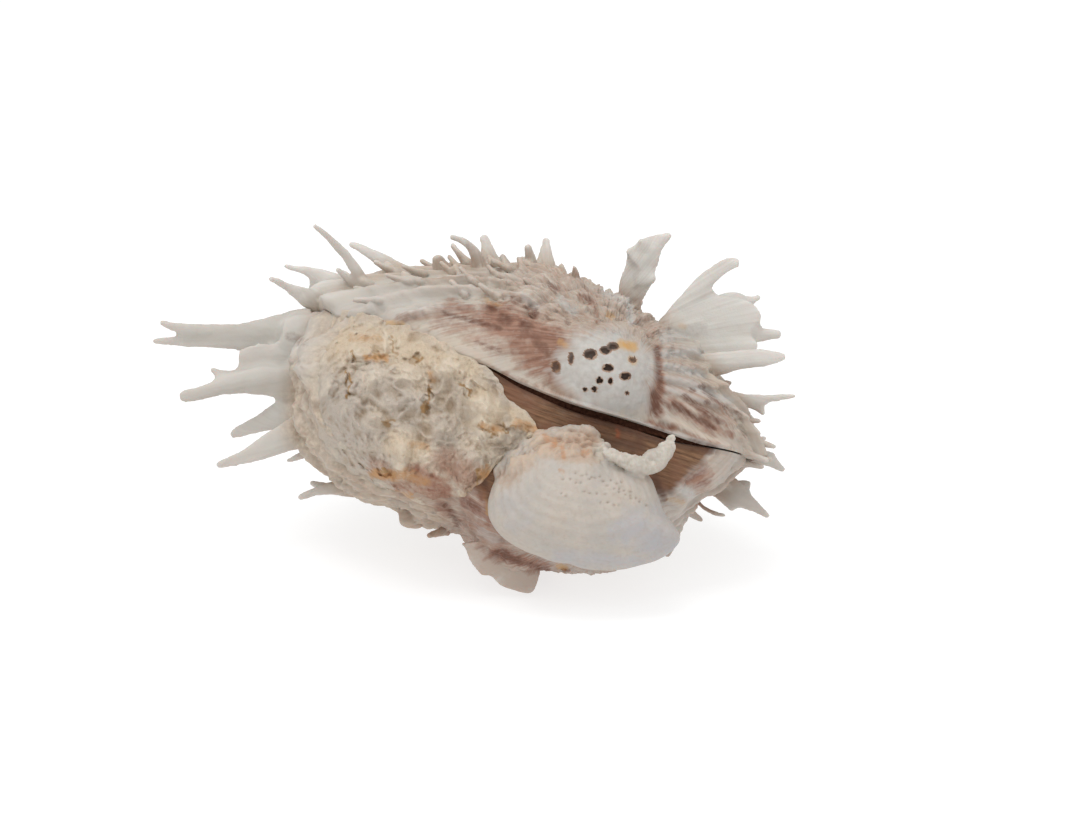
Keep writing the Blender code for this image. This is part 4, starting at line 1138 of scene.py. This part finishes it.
def apply_step(obj, kind, **settings):
    """Applies a modifier with these settings to an object's mesh."""
    step = obj.modifiers.new("step", kind)
    for key, value in settings.items():
        setattr(step, key, value)
    bpy.context.view_layer.update()
    graph = bpy.context.evaluated_depsgraph_get()
    mesh = bpy.data.meshes.new_from_object(obj.evaluated_get(graph))
    obj.modifiers.clear()
    old = obj.data
    obj.data = mesh
    bpy.data.meshes.remove(old)
    obj.data.shade_smooth()


def carve(obj, cutter, operation):
    apply_step(obj, "BOOLEAN", operation=operation, solver="MANIFOLD", object=cutter)
    bpy.data.objects.remove(cutter)


def remesh(obj, size):
    """Makes one skin round everything in a mesh, with facets of about this size."""
    apply_step(obj, "REMESH", mode="VOXEL", voxel_size=size * MM)


def soften(obj, times, share):
    apply_step(obj, "SMOOTH", iterations=times, factor=share)


def thin_out(obj, triangles):
    """Leaves about this many triangles in a mesh."""
    now = sum(len(face.vertices) - 2 for face in obj.data.polygons)
    if now > triangles:
        apply_step(obj, "DECIMATE", ratio=triangles / now)


def push(obj, amount):
    """Moves each vertex along its normal by an amount in millimetres."""
    normals = np.empty(len(obj.data.vertices) * 3)
    obj.data.vertices.foreach_get("normal", normals)
    moved = normals.reshape(-1, 3) * np.broadcast_to(amount, len(obj.data.vertices))[:, None]
    obj.data.vertices.foreach_set("co", ((places(obj) + moved) * MM).ravel())
    obj.data.update()
    obj.data.shade_smooth()


def fuse(objects):
    """Joins meshes into the first of these objects."""
    whole = bmesh.new()
    for obj in objects:
        whole.from_mesh(obj.data)
    whole.to_mesh(objects[0].data)
    whole.free()
    for obj in objects[1:]:
        bpy.data.objects.remove(obj)
    objects[0].data.shade_smooth()


def places(obj):
    """The vertices of an object in the upright frame, in millimetres."""
    points = np.empty(len(obj.data.vertices) * 3)
    obj.data.vertices.foreach_get("co", points)
    return points.reshape(-1, 3) / MM


def store(obj, name, values):
    """Keeps a number or a vector at each vertex for the material to read."""
    kind = "FLOAT_VECTOR" if values.ndim == 2 else "FLOAT"
    layer = obj.data.attributes.new(name, kind, "POINT")
    key = "vector" if values.ndim == 2 else "value"
    layer.data.foreach_set(key, values.astype(np.float32).ravel())


# The valves' colouring, as strokes in pixels of the photograph.
RED_UPPER = [
    (496, 318, 552, 342, 19, 1.0), (524, 345, 558, 374, 18, 0.9), (450, 306, 500, 322, 8, 0.7),
    (440, 318, 500, 338, 14, 0.5), (540, 326, 566, 350, 12, 0.6), (516, 300, 550, 312, 10, 0.45),
    (400, 319, 450, 312, 5, 0.5), (556, 392, 604, 408, 7, 0.5), (658, 350, 660, 390, 6, 1.0),
    (655, 392, 656, 412, 8, 0.9), (651, 424, 672, 430, 6, 0.8), (684, 434, 716, 446, 4, 0.7),
    (726, 433, 731, 434, 4, 0.7), (556, 358, 558, 376, 6, 0.8), (582, 296, 592, 303, 5, 0.7),
    (595, 306, 597, 320, 4, 0.6), (672, 403, 715, 430, 7, 0.7), (690, 396, 724, 420, 14, 0.45),
    (668, 380, 700, 396, 10, 0.4), (649, 334, 652, 337, 5, 0.6), (470, 336, 520, 352, 10, 0.5),
    (480, 366, 556, 396, 5, 0.4), (560, 318, 600, 330, 14, 0.4),
]
DARK_UPPER = [
    (658, 354, 660, 388, 3, 0.6), (684, 396, 720, 422, 3.4, 0.7), (700, 388, 736, 414, 2.4, 0.5),
    (443, 313, 500, 328, 2.6, 0.75), (503, 320, 507, 321, 6, 0.75), (523, 325, 527, 327, 6, 0.8),
    (528, 308, 535, 312, 4, 0.65), (550, 284, 556, 290, 3.5, 0.7), (567, 322, 569, 323, 3, 0.6),
    (366, 316, 368, 317, 3, 0.6), (655, 396, 656, 410, 5, 0.8), (674, 404, 714, 429, 3, 0.75),
    (655, 427, 670, 431, 3, 0.5), (690, 440, 714, 447, 2.6, 0.6), (702, 386, 704, 387, 3, 0.55),
    (691, 390, 693, 391, 3, 0.55), (706, 402, 708, 403, 3, 0.55), (512, 300, 518, 301, 4, 0.45),
    (739, 412, 744, 436, 3, 0.5), (534, 338, 548, 352, 5, 0.5), (585, 297, 590, 301, 3, 0.6),
    (556, 361, 557, 372, 3, 0.7), (476, 342, 500, 350, 2.5, 0.5),
]
TAN_UPPER = [(640, 320, 660, 330, 8, 0.5), (664, 392, 700, 412, 8, 0.6), (700, 420, 735, 440, 8, 0.5)]
ORANGE_UPPER = [(622, 344, 633, 347, 5, 0.9), (631, 359, 634, 361, 4, 0.6), (609, 315, 611, 316, 4, 0.5),
                (385, 323, 403, 324, 3, 0.55),
                (681, 325, 683, 326, 5, 0.3), (560, 342, 566, 346, 4, 0.4), (486, 300, 500, 306, 4, 0.3)]
# Whitish patches and ribs on the upper valve. The thin strokes along the lip above the seam are a painted
# highlight.
WHITE_AND_LIP_HIGHLIGHT_UPPER = [(588, 348, 616, 344, 16, 1.0), (576, 368, 634, 366, 22, 1.1), (592, 392, 628, 396, 20, 1.0),
               (600, 370, 612, 372, 32, 1.2), (666, 366, 704, 374, 4, 0.8), (668, 378, 712, 392, 4, 0.7),
               (668, 388, 716, 406, 3, 0.6), (600, 412, 724, 450, 3.4, 0.8), (664, 354, 700, 352, 5, 0.8),
               (496, 374, 562, 398, 1.6, 0.4), (562, 398, 604, 414, 2.0, 0.6), (664, 338, 700, 330, 7, 0.7),
               (700, 392, 730, 400, 4, 0.7), (560, 300, 574, 312, 5, 0.7), (604, 292, 622, 300, 5, 0.6),
               (524, 296, 536, 306, 4, 0.6), (628, 300, 632, 322, 4, 0.8)]
GREY_UPPER = [(500, 288, 640, 308, 18, 0.8), (300, 300, 420, 300, 20, 0.9), (420, 300, 470, 290, 12, 0.7),
              (560, 290, 640, 305, 14, 0.6),
              (500, 290, 560, 285, 8, 0.5), (640, 320, 700, 345, 14, 0.5)]
RED_LOWER = [
    (440, 504, 446, 510, 8, 0.8), (466, 502, 480, 510, 10, 0.9), (480, 486, 492, 520, 9, 0.9),
    (495, 552, 545, 568, 8, 0.9), (470, 520, 500, 545, 16, 0.6), (430, 490, 450, 500, 10, 0.6),
    (655, 470, 700, 480, 12, 0.8), (680, 452, 700, 470, 10, 0.7), (617, 425, 619, 437, 2.5, 0.9),
    (558, 566, 566, 568, 4, 0.6), (400, 488, 430, 500, 10, 0.4), (525, 560, 560, 572, 6, 0.5),
]
TAN_LOWER = [(462, 530, 490, 560, 20, 0.9), (492, 566, 530, 574, 20, 1.0), (512, 582, 518, 590, 18, 1.0)]
# Dark marks on the lower valve. The first three strokes, along the seam, are painted shadow under the upper
# valve's lip.
DARK_AND_SEAM_SHADE_LOWER = [
    (485, 372, 580, 412, 4, 0.6), (580, 412, 660, 440, 5, 0.65), (660, 440, 716, 452, 4, 0.6),
    (450, 510, 458, 523, 4, 0.7), (497, 552, 520, 562, 4, 0.8), (520, 562, 548, 570, 3, 0.6),
    (443, 505, 445, 507, 4, 0.6), (470, 502, 478, 508, 4, 0.6), (590, 440, 640, 446, 6, 0.5),
    (655, 478, 664, 498, 4, 0.6), (485, 484, 492, 504, 4, 0.7), (290, 336, 302, 341, 6, 0.35),
]
ORANGE_LOWER = [(617.5, 424, 618, 437, 1.8, 0.9), (580, 412, 581, 418, 1.5, 0.5),
                (668, 499, 682, 502, 3, 0.35), (486, 488, 490, 512, 4, 0.5), (558, 566, 566, 568, 3, 0.5),
                (618, 426, 618, 436, 2, 0.5)]
WHITE_LOWER = [(714, 448, 680, 479, 3.4, 0.9), (680, 479, 672, 491, 3, 0.8), (676, 486, 688, 494, 6, 0.8),
               (482, 532, 494, 540, 6, 0.4)]
GREY_LOWER = [(690, 490, 700, 470, 8, 0.8), (384, 506, 440, 528, 16, 0.8), (330, 476, 380, 500, 16, 0.7),
              (662, 506, 688, 530, 14, 0.8), (520, 578, 540, 588, 10, 0.7),
              (440, 526, 480, 550, 8, 0.5)]
# The dark hinge face ends at the right where x + y in the photograph is more than FACE_END,
# and it also fills the stroke FACE_SIDE.
FACE_END = 1162
FACE_SIDE = [(664, 486, 694, 458, 9, 1.0)]
# How reddish a valve is around its beak.
BEAK_RED = {UPPER: 0.34, LOWER: 0.3}
COLOURING = {
    UPPER: {"red": RED_UPPER, "dark": DARK_UPPER, "orange": ORANGE_UPPER, "white": WHITE_AND_LIP_HIGHLIGHT_UPPER,
            "grey": GREY_UPPER, "tan": TAN_UPPER},
    LOWER: {"red": RED_LOWER, "dark": DARK_AND_SEAM_SHADE_LOWER, "orange": ORANGE_LOWER, "white": WHITE_LOWER,
            "grey": GREY_LOWER, "tan": TAN_LOWER},
}


def dress_valve(obj, side):
    """Keeps what the material needs at each vertex of a valve."""
    points = places(obj)
    shell = to_shell(points)
    from_heart = shell - HEART
    far = np.linalg.norm(from_heart, axis=1)
    ways = from_heart / far[:, None]
    turn, out = spoke_of(side, ways)
    surface = reach(ROOM[side], ways)
    stand = far - surface
    spots = in_photo(points)
    front = (points[:, 1] < FRONT_DEPTH + 2) & (stand > -3)
    ray = np.stack([np.cos(turn) * 22, np.sin(turn) * 22, out * 2.2 + stand * 0.02], axis=1)
    shake = 0.45 * roughness_of(ray, 0.9, 33, 2) + 0.25 * roughness_of(points, 1.6, 31)
    store(obj, "place", points)
    store(obj, "ray", ray)
    store(obj, "stand", np.clip(stand - 1.4, 0, 40))
    for name, lines in COLOURING[side].items():
        covered = strokes(spots, shake, lines) * front
        if name == "red":
            near_beak = BEAK_RED[side] * (1 - smooth_step(out + 0.15 * shake, 0.2, 0.9))
            near_beak = near_beak * (1 - smooth_step(stand, 1.2, 4.0))
            covered = np.maximum(covered, near_beak)
        store(obj, name, covered)
    plain = HEART + ways * surface[:, None]
    fade = smooth_step(out, *POLE_FADE) * smooth_step(plain[:, 1], *HINGE_FADE)
    grain = skin_grain(side, plain, turn, out) * fade
    rough = strokes(spots, 0, CRAGGY[side]) * front
    # The grain's height, which the material uses for a painted highlight on its ridges and painted shade in
    # its hollows.
    store(obj, "grain", grain * (stand < 4) + rough * (craggy(plain, 4.4, 3, 4) + 0.2))
    behind_face = shell[:, 1] - (HINGE_Y + CARDINAL_LEAN * shell[:, 2])
    if side == UPPER:
        store(obj, "face", np.zeros(len(points)))
        store(obj, "crust", strokes(spots, shake, CRAGGY[UPPER]) * front * 0.5)
        store(obj, "pit", bored(points, spots))
    else:
        face = 1 - smooth_step(behind_face, 0.3, 1.8)
        right = smooth_step(FACE_END - spots[:, 0] - spots[:, 1] + 6 * shake, -3, 3)
        face = np.maximum(face * right, strokes(spots, shake, FACE_SIDE) * front)
        store(obj, "face", face * (stand > -3))
        store(obj, "crust", strokes(spots, shake, CRAGGY[LOWER][:3]) * front)
        store(obj, "pit", np.zeros(len(points)))
    hinge = np.stack([shell[:, 0] * 0.12, shell[:, 2] * 1.3, np.zeros(len(points))], axis=1)
    store(obj, "band", hinge)


def colour(red, green, blue):
    """A colour given as in a picture, 0 to 255, as the shader takes it."""
    linear = []
    for value in (red, green, blue):
        value = value / 255
        linear.append(value / 12.92 if value <= 0.04045 else ((value + 0.055) / 1.055) ** 2.4)
    return (*linear, 1.0)


class Look:
    """A material's nodes, put together by short calls."""

    def __init__(self, name):
        self.material = bpy.data.materials.new(name)
        self.material.use_nodes = True
        self.tree = self.material.node_tree
        self.shader = self.tree.nodes["Principled BSDF"]

    def node(self, kind, **settings):
        made = self.tree.nodes.new(kind)
        for key, value in settings.items():
            setattr(made, key, value)
        return made

    def wire(self, target, value):
        """Feeds a socket from another one, or sets it to a number or to a colour of 0 to 255."""
        if isinstance(value, bpy.types.NodeSocket):
            self.tree.links.new(value, target)
        elif isinstance(value, tuple):
            target.default_value = colour(*value)
        else:
            target.default_value = value

    def number(self, name):
        return self.node("ShaderNodeAttribute", attribute_name=name).outputs["Fac"]

    def vector(self, name):
        return self.node("ShaderNodeAttribute", attribute_name=name).outputs["Vector"]

    def noise(self, where, scale, detail=3.0, roughness=0.55):
        made = self.node("ShaderNodeTexNoise")
        self.wire(made.inputs["Vector"], where)
        made.inputs["Scale"].default_value = scale
        made.inputs["Detail"].default_value = detail
        made.inputs["Roughness"].default_value = roughness
        return made.outputs["Fac"]

    def math(self, operation, a, b):
        made = self.node("ShaderNodeMath", operation=operation)
        self.wire(made.inputs[0], a)
        self.wire(made.inputs[1], b)
        return made.outputs[0]

    def span(self, value, low, high, to_low=0.0, to_high=1.0):
        made = self.node("ShaderNodeMapRange", clamp=True)
        self.wire(made.inputs["Value"], value)
        ends = {"From Min": low, "From Max": high, "To Min": to_low, "To Max": to_high}
        for key, number in ends.items():
            made.inputs[key].default_value = number
        return made.outputs["Result"]

    def mix(self, share, a, b):
        made = self.node("ShaderNodeMix", data_type="RGBA")
        self.wire(made.inputs["Factor"], share)
        self.wire(made.inputs[6], a)
        self.wire(made.inputs[7], b)
        return made.outputs[2]

    def patchy(self, mask, grain, loose, low, high):
        """A soft mask whose edge breaks up along a noise."""
        shift = self.math("MULTIPLY", self.math("SUBTRACT", grain, 0.5), loose)
        held = self.math("MULTIPLY", self.span(mask, 0.0, 0.25), self.math("ADD", mask, shift))
        return self.span(held, low, high)

    def coat(self, base, name, tone, grain, loose, low=0.08, high=0.92):
        """A tone over the base where the mask of this name is, with a broken edge."""
        return self.mix(self.patchy(self.number(name), grain, loose, low, high), base, tone)

    def tint(self, base, value, low, high, tone, to_low=0.0, to_high=1.0):
        """A tone over the base, by a share that follows a value from low to high."""
        return self.mix(self.span(value, low, high, to_low, to_high), base, tone)

    def bump(self, height, distance, strength, under=None):
        made = self.node("ShaderNodeBump")
        made.inputs["Strength"].default_value = strength
        made.inputs["Distance"].default_value = distance * MM
        self.wire(made.inputs["Height"], height)
        if under is not None:
            self.wire(made.inputs["Normal"], under)
        return made.outputs["Normal"]

    def finish(self, base, roughness, normal, scatter=0.0, specular=0.4):
        self.wire(self.shader.inputs["Base Color"], base)
        self.wire(self.shader.inputs["Roughness"], roughness)
        self.wire(self.shader.inputs["Normal"], normal)
        self.shader.inputs["Specular IOR Level"].default_value = specular
        if scatter:
            self.shader.inputs["Subsurface Weight"].default_value = scatter
            self.shader.inputs["Subsurface Scale"].default_value = 3 * MM
        return self.material


def valve_look(name, warm, plain, brown, pale, dull):
    """Shell with colour that runs along its ribs, and pale smooth spines."""
    look = Look(name)
    place, ray = look.vector("place"), look.vector("ray")
    streak = look.noise(ray, 1.1, 4.0, 0.6)
    fine_streak = look.noise(ray, 2.4, 3.0, 0.55)
    cloud = look.noise(place, 0.13, 4.0, 0.6)
    grain = look.noise(place, 0.9, 4.0, 0.6)
    blend = look.math("ADD", fine_streak, look.math("ADD", streak, grain))
    blend = look.math("MULTIPLY", blend, 0.333)
    base = look.tint(warm, cloud, 0.35, 0.65, plain)
    base = look.tint(base, fine_streak, 0.38, 0.72, (154, 132, 116), 0.0, 0.4)
    base = look.coat(base, "grey", (184, 178, 170), grain, 0.5)
    stony = look.tint((166, 150, 134), grain, 0.36, 0.66, (194, 180, 162))
    base = look.coat(base, "crust", stony, grain, 0.6)
    # Painted highlight on the ridges of the grain and painted shade in its hollows, by the grain's height.
    base = look.tint(base, look.number("grain"), 0.25, 1.1, (196, 187, 174), 0.0, 0.5)
    base = look.tint(base, look.number("grain"), -1.0, -0.1, (140, 118, 100), 0.5, 0.0)
    spine = look.tint(pale, streak, 0.36, 0.70, dull)
    base = look.tint(base, look.number("stand"), 0.2, 4.0, spine)
    base = look.coat(base, "tan", (174, 159, 147), grain, 0.5)
    rust = look.tint(brown, streak, 0.42, 0.6, (150, 116, 98))
    base = look.coat(base, "red", rust, blend, 2.2, 0.08, 0.9)
    # Whitish patches, and along the upper valve's lip a painted highlight.
    chalk_and_lip_highlight = look.tint((186, 183, 178), grain, 0.3, 0.7, (172, 167, 161))
    base = look.coat(base, "white", chalk_and_lip_highlight, grain, 0.6)
    base = look.coat(base, "orange", (190, 150, 96), grain, 0.8)
    # Dark marks, and along the lower valve's seam a painted shadow under the upper valve's lip.
    base = look.coat(base, "dark", (98, 66, 52), blend, 2.6, 0.1, 1.0)
    band = look.noise(look.vector("band"), 2.0, 4.0, 0.65)
    olive = look.tint((88, 60, 40), band, 0.34, 0.66, (132, 98, 70))
    olive = look.mix(look.number("orange"), olive, (150, 84, 54))
    olive = look.tint(olive, look.noise(place, 0.16, 2.0), 0.4, 0.6, (120, 82, 62), 0.0, 0.6)
    # On the hinge face the dark strokes are darker still; along the seam they are painted shadow under the
    # upper valve's lip.
    olive = look.coat(olive, "dark", (74, 48, 36), band, 1.0)
    base = look.mix(look.number("face"), base, olive)
    # The bores are brown at the rim and darker deeper in: painted shade inside the holes.
    pit = look.tint((140, 104, 76), look.number("pit"), 0.3, 1.0, (70, 47, 34))
    base = look.tint(base, look.number("pit"), 0.05, 0.35, pit, 0.0, 0.9)
    rough = look.span(grain, 0.3, 0.7, 0.5, 0.72)
    normal = look.bump(fine_streak, 0.08, 0.5)
    normal = look.bump(look.noise(place, 2.6, 4.0, 0.65), 0.14, 0.6, normal)
    return look.finish(base, rough, normal, scatter=0.12, specular=0.3)


def crust_look():
    look = Look("crust")
    place = look.vector("place")
    cloud = look.noise(place, 0.12, 4.0, 0.6)
    grain = look.noise(place, 0.8, 5.0, 0.65)
    sand = look.noise(place, 3.4, 3.0, 0.7)
    height = look.number("height")
    base = look.tint((200, 185, 166), cloud, 0.38, 0.62, (192, 180, 167))
    base = look.tint(base, grain, 0.42, 0.70, (204, 190, 170), 0.0, 0.7)
    base = look.coat(base, "grey", (182, 172, 161), grain, 0.6)
    base = look.coat(base, "cream", (200, 182, 158), grain, 0.7)
    base = look.tint(base, sand, 0.5, 0.75, (146, 122, 98), 0.0, 0.45)
    # Painted shade in the crust's hollows and painted highlight on its tops, by their height.
    base = look.tint(base, height, -1.6, -0.1, (150, 122, 90), 0.7, 0.0)
    base = look.tint(base, height, 0.5, 1.6, (214, 202, 184), 0.0, 0.6)
    base = look.coat(base, "red", (146, 104, 86), grain, 0.9)
    base = look.coat(base, "orange", (184, 142, 100), grain, 1.4)
    # Darker yellow-brown in the cracks: painted shade.
    base = look.coat(base, "dark", (160, 128, 90), grain, 0.7)
    normal = look.bump(grain, 0.5, 0.7)
    normal = look.bump(sand, 0.3, 0.7, normal)
    rough = look.span(grain, 0.3, 0.7, 0.75, 0.95)
    return look.finish(base, rough, normal, scatter=0.06, specular=0.25)


def attached_look():
    look = Look("attached_shell")
    place = look.vector("place")
    cloud = look.noise(place, 0.15, 3.0, 0.55)
    grain = look.noise(place, 1.2, 4.0, 0.6)
    growth = look.noise(look.vector("ray"), 2.0, 4.0, 0.65)
    line = look.noise(look.vector("line"), 0.8, 3.0, 0.6)
    fold = look.number("fold")
    base = look.tint((184, 174, 163), cloud, 0.35, 0.65, (173, 167, 160))
    # Greyer on the dome's lower and side slopes: painted shade.
    base = look.coat(base, "grey", (168, 166, 168), cloud, 0.5)
    base = look.tint(base, growth, 0.45, 0.7, (168, 154, 140), 0.0, 0.35)
    base = look.tint(base, line, 0.5, 0.8, (200, 194, 186), 0.0, 0.14)
    base = look.tint(base, grain, 0.52, 0.8, (160, 144, 128), 0.0, 0.4)
    base = look.coat(base, "cream", (172, 147, 126), grain, 0.7)
    # Painted shade in the creases between the knobs and a painted highlight on their tops.
    base = look.tint(base, fold, -0.8, 0.0, (132, 98, 74), 0.7, 0.0)
    base = look.tint(base, fold, 0.1, 0.7, (190, 170, 149), 0.0, 0.6)
    base = look.coat(base, "orange", (176, 130, 94), grain, 0.9)
    base = look.mix(look.math("MULTIPLY", look.number("pore"), 0.5), base, (134, 110, 90))
    bright = look.tint((200, 194, 184), grain, 0.3, 0.7, (178, 169, 156))
    base = look.coat(base, "white", bright, grain, 0.4)
    normal = look.bump(growth, 0.2, 0.6)
    normal = look.bump(line, 0.06, 0.4, normal)
    normal = look.bump(grain, 0.2, 0.6, normal)
    rough = look.span(grain, 0.3, 0.7, 0.48, 0.66)
    return look.finish(base, rough, normal, scatter=0.12, specular=0.35)


def ligament_look():
    look = Look("ligament")
    place = look.vector("place")
    grain = look.noise(place, 1.5, 4.0, 0.6)
    base = look.tint((60, 34, 26), grain, 0.35, 0.7, (96, 62, 46))
    return look.finish(base, 0.9, look.bump(grain, 0.3, 0.6), specular=0.1)


def floor_look():
    """A pale floor that glows a little, as it is lit from below."""
    look = Look("floor")
    look.shader.inputs["Base Color"].default_value = colour(160, 160, 160)
    look.shader.inputs["Roughness"].default_value = 0.9
    look.shader.inputs["Specular IOR Level"].default_value = 0.0
    look.shader.inputs["Emission Color"].default_value = (1.0, 1.0, 1.0, 1.0)
    look.shader.inputs["Emission Strength"].default_value = FLOOR_GLOW
    return look.material


# Holes bored into the worn beak, in pixels of the photograph: x, y, half width, half height,
# and in millimetres how far the bore goes in.
BORES = [
    (571, 358.5, 2.2, 5.2, 0.9), (590.5, 354.5, 5.6, 4.4, 1.3), (605.5, 350.5, 4.8, 3.4, 1.2),
    (613, 346.5, 4.6, 3.4, 1.2), (608, 368, 4.9, 3.5, 1.3), (625, 376, 4.9, 3.6, 1.2),
    (599.5, 380.5, 3.1, 3.2, 1.1), (610.5, 381, 2.2, 3.1, 0.9), (594.5, 389, 2.5, 2.8, 1.0),
    (585, 389.5, 2.1, 2.0, 0.8), (632.5, 360, 3.2, 2.4, 0.7), (627, 393, 1.7, 1.9, 0.7),
    (556.5, 367, 3.8, 4.6, 0.6),
]
BORE_SIDES = 14
BORE_FACES = []  # how deep the surface lies at each bore, which bore_tools finds


def bored(points, spots):
    """How deep in a bore each point is: 0 outside, 0.3 at the rim and 1 inside."""
    total = np.zeros(len(points))
    for (px, py, half_x, half_y, _), face in zip(BORES, BORE_FACES):
        away = np.hypot((spots[:, 0] - px) / half_x, (spots[:, 1] - py) / half_y)
        deep = 0.3 + 0.7 * smooth_step(points[:, 1] - face, 0.2, 0.7)
        total = np.maximum(total, (away < 1.3) * (points[:, 1] < face + 4) * deep)
    return total


def bore_tools(points):
    """Slightly lumpy plugs at the bores, from in front of the beak down into it."""
    tools = []
    ahead = points[points[:, 1] < 25]
    for px, py, half_x, half_y, deep in BORES:
        x, z = from_photo(px, py, -2.0)
        face = ahead[np.hypot(ahead[:, 0] - x, ahead[:, 2] - z) < 1.0, 1].min() + 0.2
        x, z = from_photo(px, py, face)
        BORE_FACES.append(face)
        rings = []
        for y, size in ((face - 3, 1.0), (face, 1.0), (face + 0.6 * deep, 0.9), (face + deep, 0.5)):
            for k in range(BORE_SIDES):
                turn = 2 * math.pi * k / BORE_SIDES
                at = Vector((math.cos(turn) * 1.3 + px, math.sin(turn) * 1.3, 0))
                reach_out = size * (1 + 0.6 * noise.noise(at)) * PX
                rings.append((x + half_x * reach_out * math.cos(turn), y,
                              z + half_y * reach_out * math.sin(turn)))
        front, back = (x, face - 3.3, z), (x, face + deep + 0.1, z)
        tools.append(closed_fan([front] + rings + [back], 4, BORE_SIDES))
    return join(tools)


# How the spines are made into one skin: they are blown up, joined and drawn in again, so
# that thin webs fill the forks between them.
WEB = 1.0
SKIN, FINE_SKIN = 0.42, 0.34
REGAIN = 0.05  # what the smoothing takes from a spine's thickness on each side
GROWTH_TRIANGLES = 88000


def strands(spines, seed_step):
    return join([fine_strand(spine, k * seed_step) for k, spine in enumerate(spines)])


def grown(name, spines, small):
    """One skin round all the spines of a valve, with webs in the forks of the large ones."""
    obj = mesh_object(name, strands(spines, 1.7))
    push(obj, WEB)
    remesh(obj, SKIN)
    soften(obj, 2, 0.5)
    push(obj, -WEB)
    fuse([obj, mesh_object("little", strands(small, 2.3))])
    remesh(obj, FINE_SKIN)
    soften(obj, 2, 0.5)
    points = places(obj)
    rough = 0.14 * roughness_of(points, 2.6, 41) + 0.07 * roughness_of(points, 0.9, 42)
    push(obj, rough + REGAIN)
    thin_out(obj, GROWTH_TRIANGLES)
    return obj


def make_valve(side, name, spines, rows, rng):
    roots = [root for root in (root_of(side, spine) for spine in spines) if root]
    body = mesh_object(name, fine_valve(side, roots))
    if side == UPPER:
        carve(body, mesh_object("bores", bore_tools(places(body))), "DIFFERENCE")
    small = row_spines(side, rows, rng) + rib_scales(side, rng)
    carve(body, grown("growth", spines, small), "UNION")
    dress_valve(body, side)
    return body


def put(obj, node, material):
    """Stands a fine piece where its node is, in the resting frame, and dresses it."""
    obj.data.transform(REST)
    obj.data.materials.clear()
    obj.data.materials.append(material)
    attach(obj, "root")
    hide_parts(node)


REST = Matrix.Translation(FOOT * MM) @ Matrix.Rotation(-LEAN, 4, "X")


# The stage: the floor in metres, the lens in millimetres.
FLOOR_HALF = 6.0
FOCAL_LENGTH, SENSOR_WIDTH = 200, 36
FLOOR_GLOW = 0.72
SKY_STRENGTH = 0.76


def light(name, where, size, power, aim):
    lamp = bpy.data.lights.new(name, "AREA")
    lamp.size = size
    lamp.energy = power
    obj = added(name, lamp)
    obj.location = where
    obj.rotation_mode = "QUATERNION"
    obj.rotation_quaternion = (Vector(aim) - Vector(where)).to_track_quat("-Z", "Y")


def stage():
    """The floor, the soft light and the camera at the photograph's viewing angle."""
    corners = [(x * FLOOR_HALF, y * FLOOR_HALF, 0) for x, y in ((-1, -1), (1, -1), (1, 1), (-1, 1))]
    mesh = bpy.data.meshes.new("floor")
    mesh.from_pydata(corners, [], [(0, 1, 2, 3)])
    floor = added("floor", mesh)
    mesh.materials.append(floor_look())

    world = bpy.data.worlds.new("studio")
    bpy.context.scene.world = world
    world.use_nodes = True
    background = world.node_tree.nodes["Background"]
    background.inputs["Color"].default_value = (1.0, 1.0, 1.0, 1.0)
    background.inputs["Strength"].default_value = SKY_STRENGTH
    light("above", (-0.15, -0.1, 0.9), 0.6, 3.6, (0, 0, 0.03))
    light("front", (0.0, -1.0, 0.7), 0.9, 2.4, (0, 0, 0.03))

    middle = REST @ (Vector((IMAGE_MIDDLE_X, IMAGE_MIDDLE_Y, 0.0)) * MM)
    back = Vector((0, -math.cos(LEAN), math.sin(LEAN)))
    lens = bpy.data.cameras.new("camera")
    lens.lens, lens.sensor_width = FOCAL_LENGTH, SENSOR_WIDTH
    lens.clip_start, lens.clip_end = 0.05, 30
    camera = added("camera", lens)
    camera.location = middle + back * CAMERA_AWAY * MM
    camera.rotation_mode = "QUATERNION"
    camera.rotation_quaternion = (-back).to_track_quat("-Z", "Y")
    bpy.context.scene.camera = camera
    bpy.context.scene.view_settings.view_transform = "Standard"


def main():
    rng = np.random.default_rng(SEED)
    upper = make_valve(UPPER, "upper_valve_fine", edge_spines(UPPER, UPPER_SPINES), UPPER_ROWS, rng)
    look = valve_look("upper_shell", (188, 175, 160), (180, 172, 162), (124, 88, 72), (207, 204, 198),
                      (190, 185, 177))
    put(upper, "upper_valve", look)
    spines = edge_spines(LOWER, LOWER_SPINES) + support_spines()
    lower = make_valve(LOWER, "lower_valve_fine", spines, LOWER_ROWS, rng)
    look = valve_look("lower_shell", (182, 168, 155), (176, 169, 161), (128, 92, 78), (194, 190, 183),
                      (178, 173, 165))
    put(lower, "lower_valve", look)
    put(fine_crust(), "reef_crust", crust_look())
    put(fine_attached(), "attached_shell", attached_look())
    ligament = mesh_object("hinge_ligament_fine", fine_ligament())
    store(ligament, "place", places(ligament))
    put(ligament, "hinge_ligament", ligament_look())
    stage()


main()
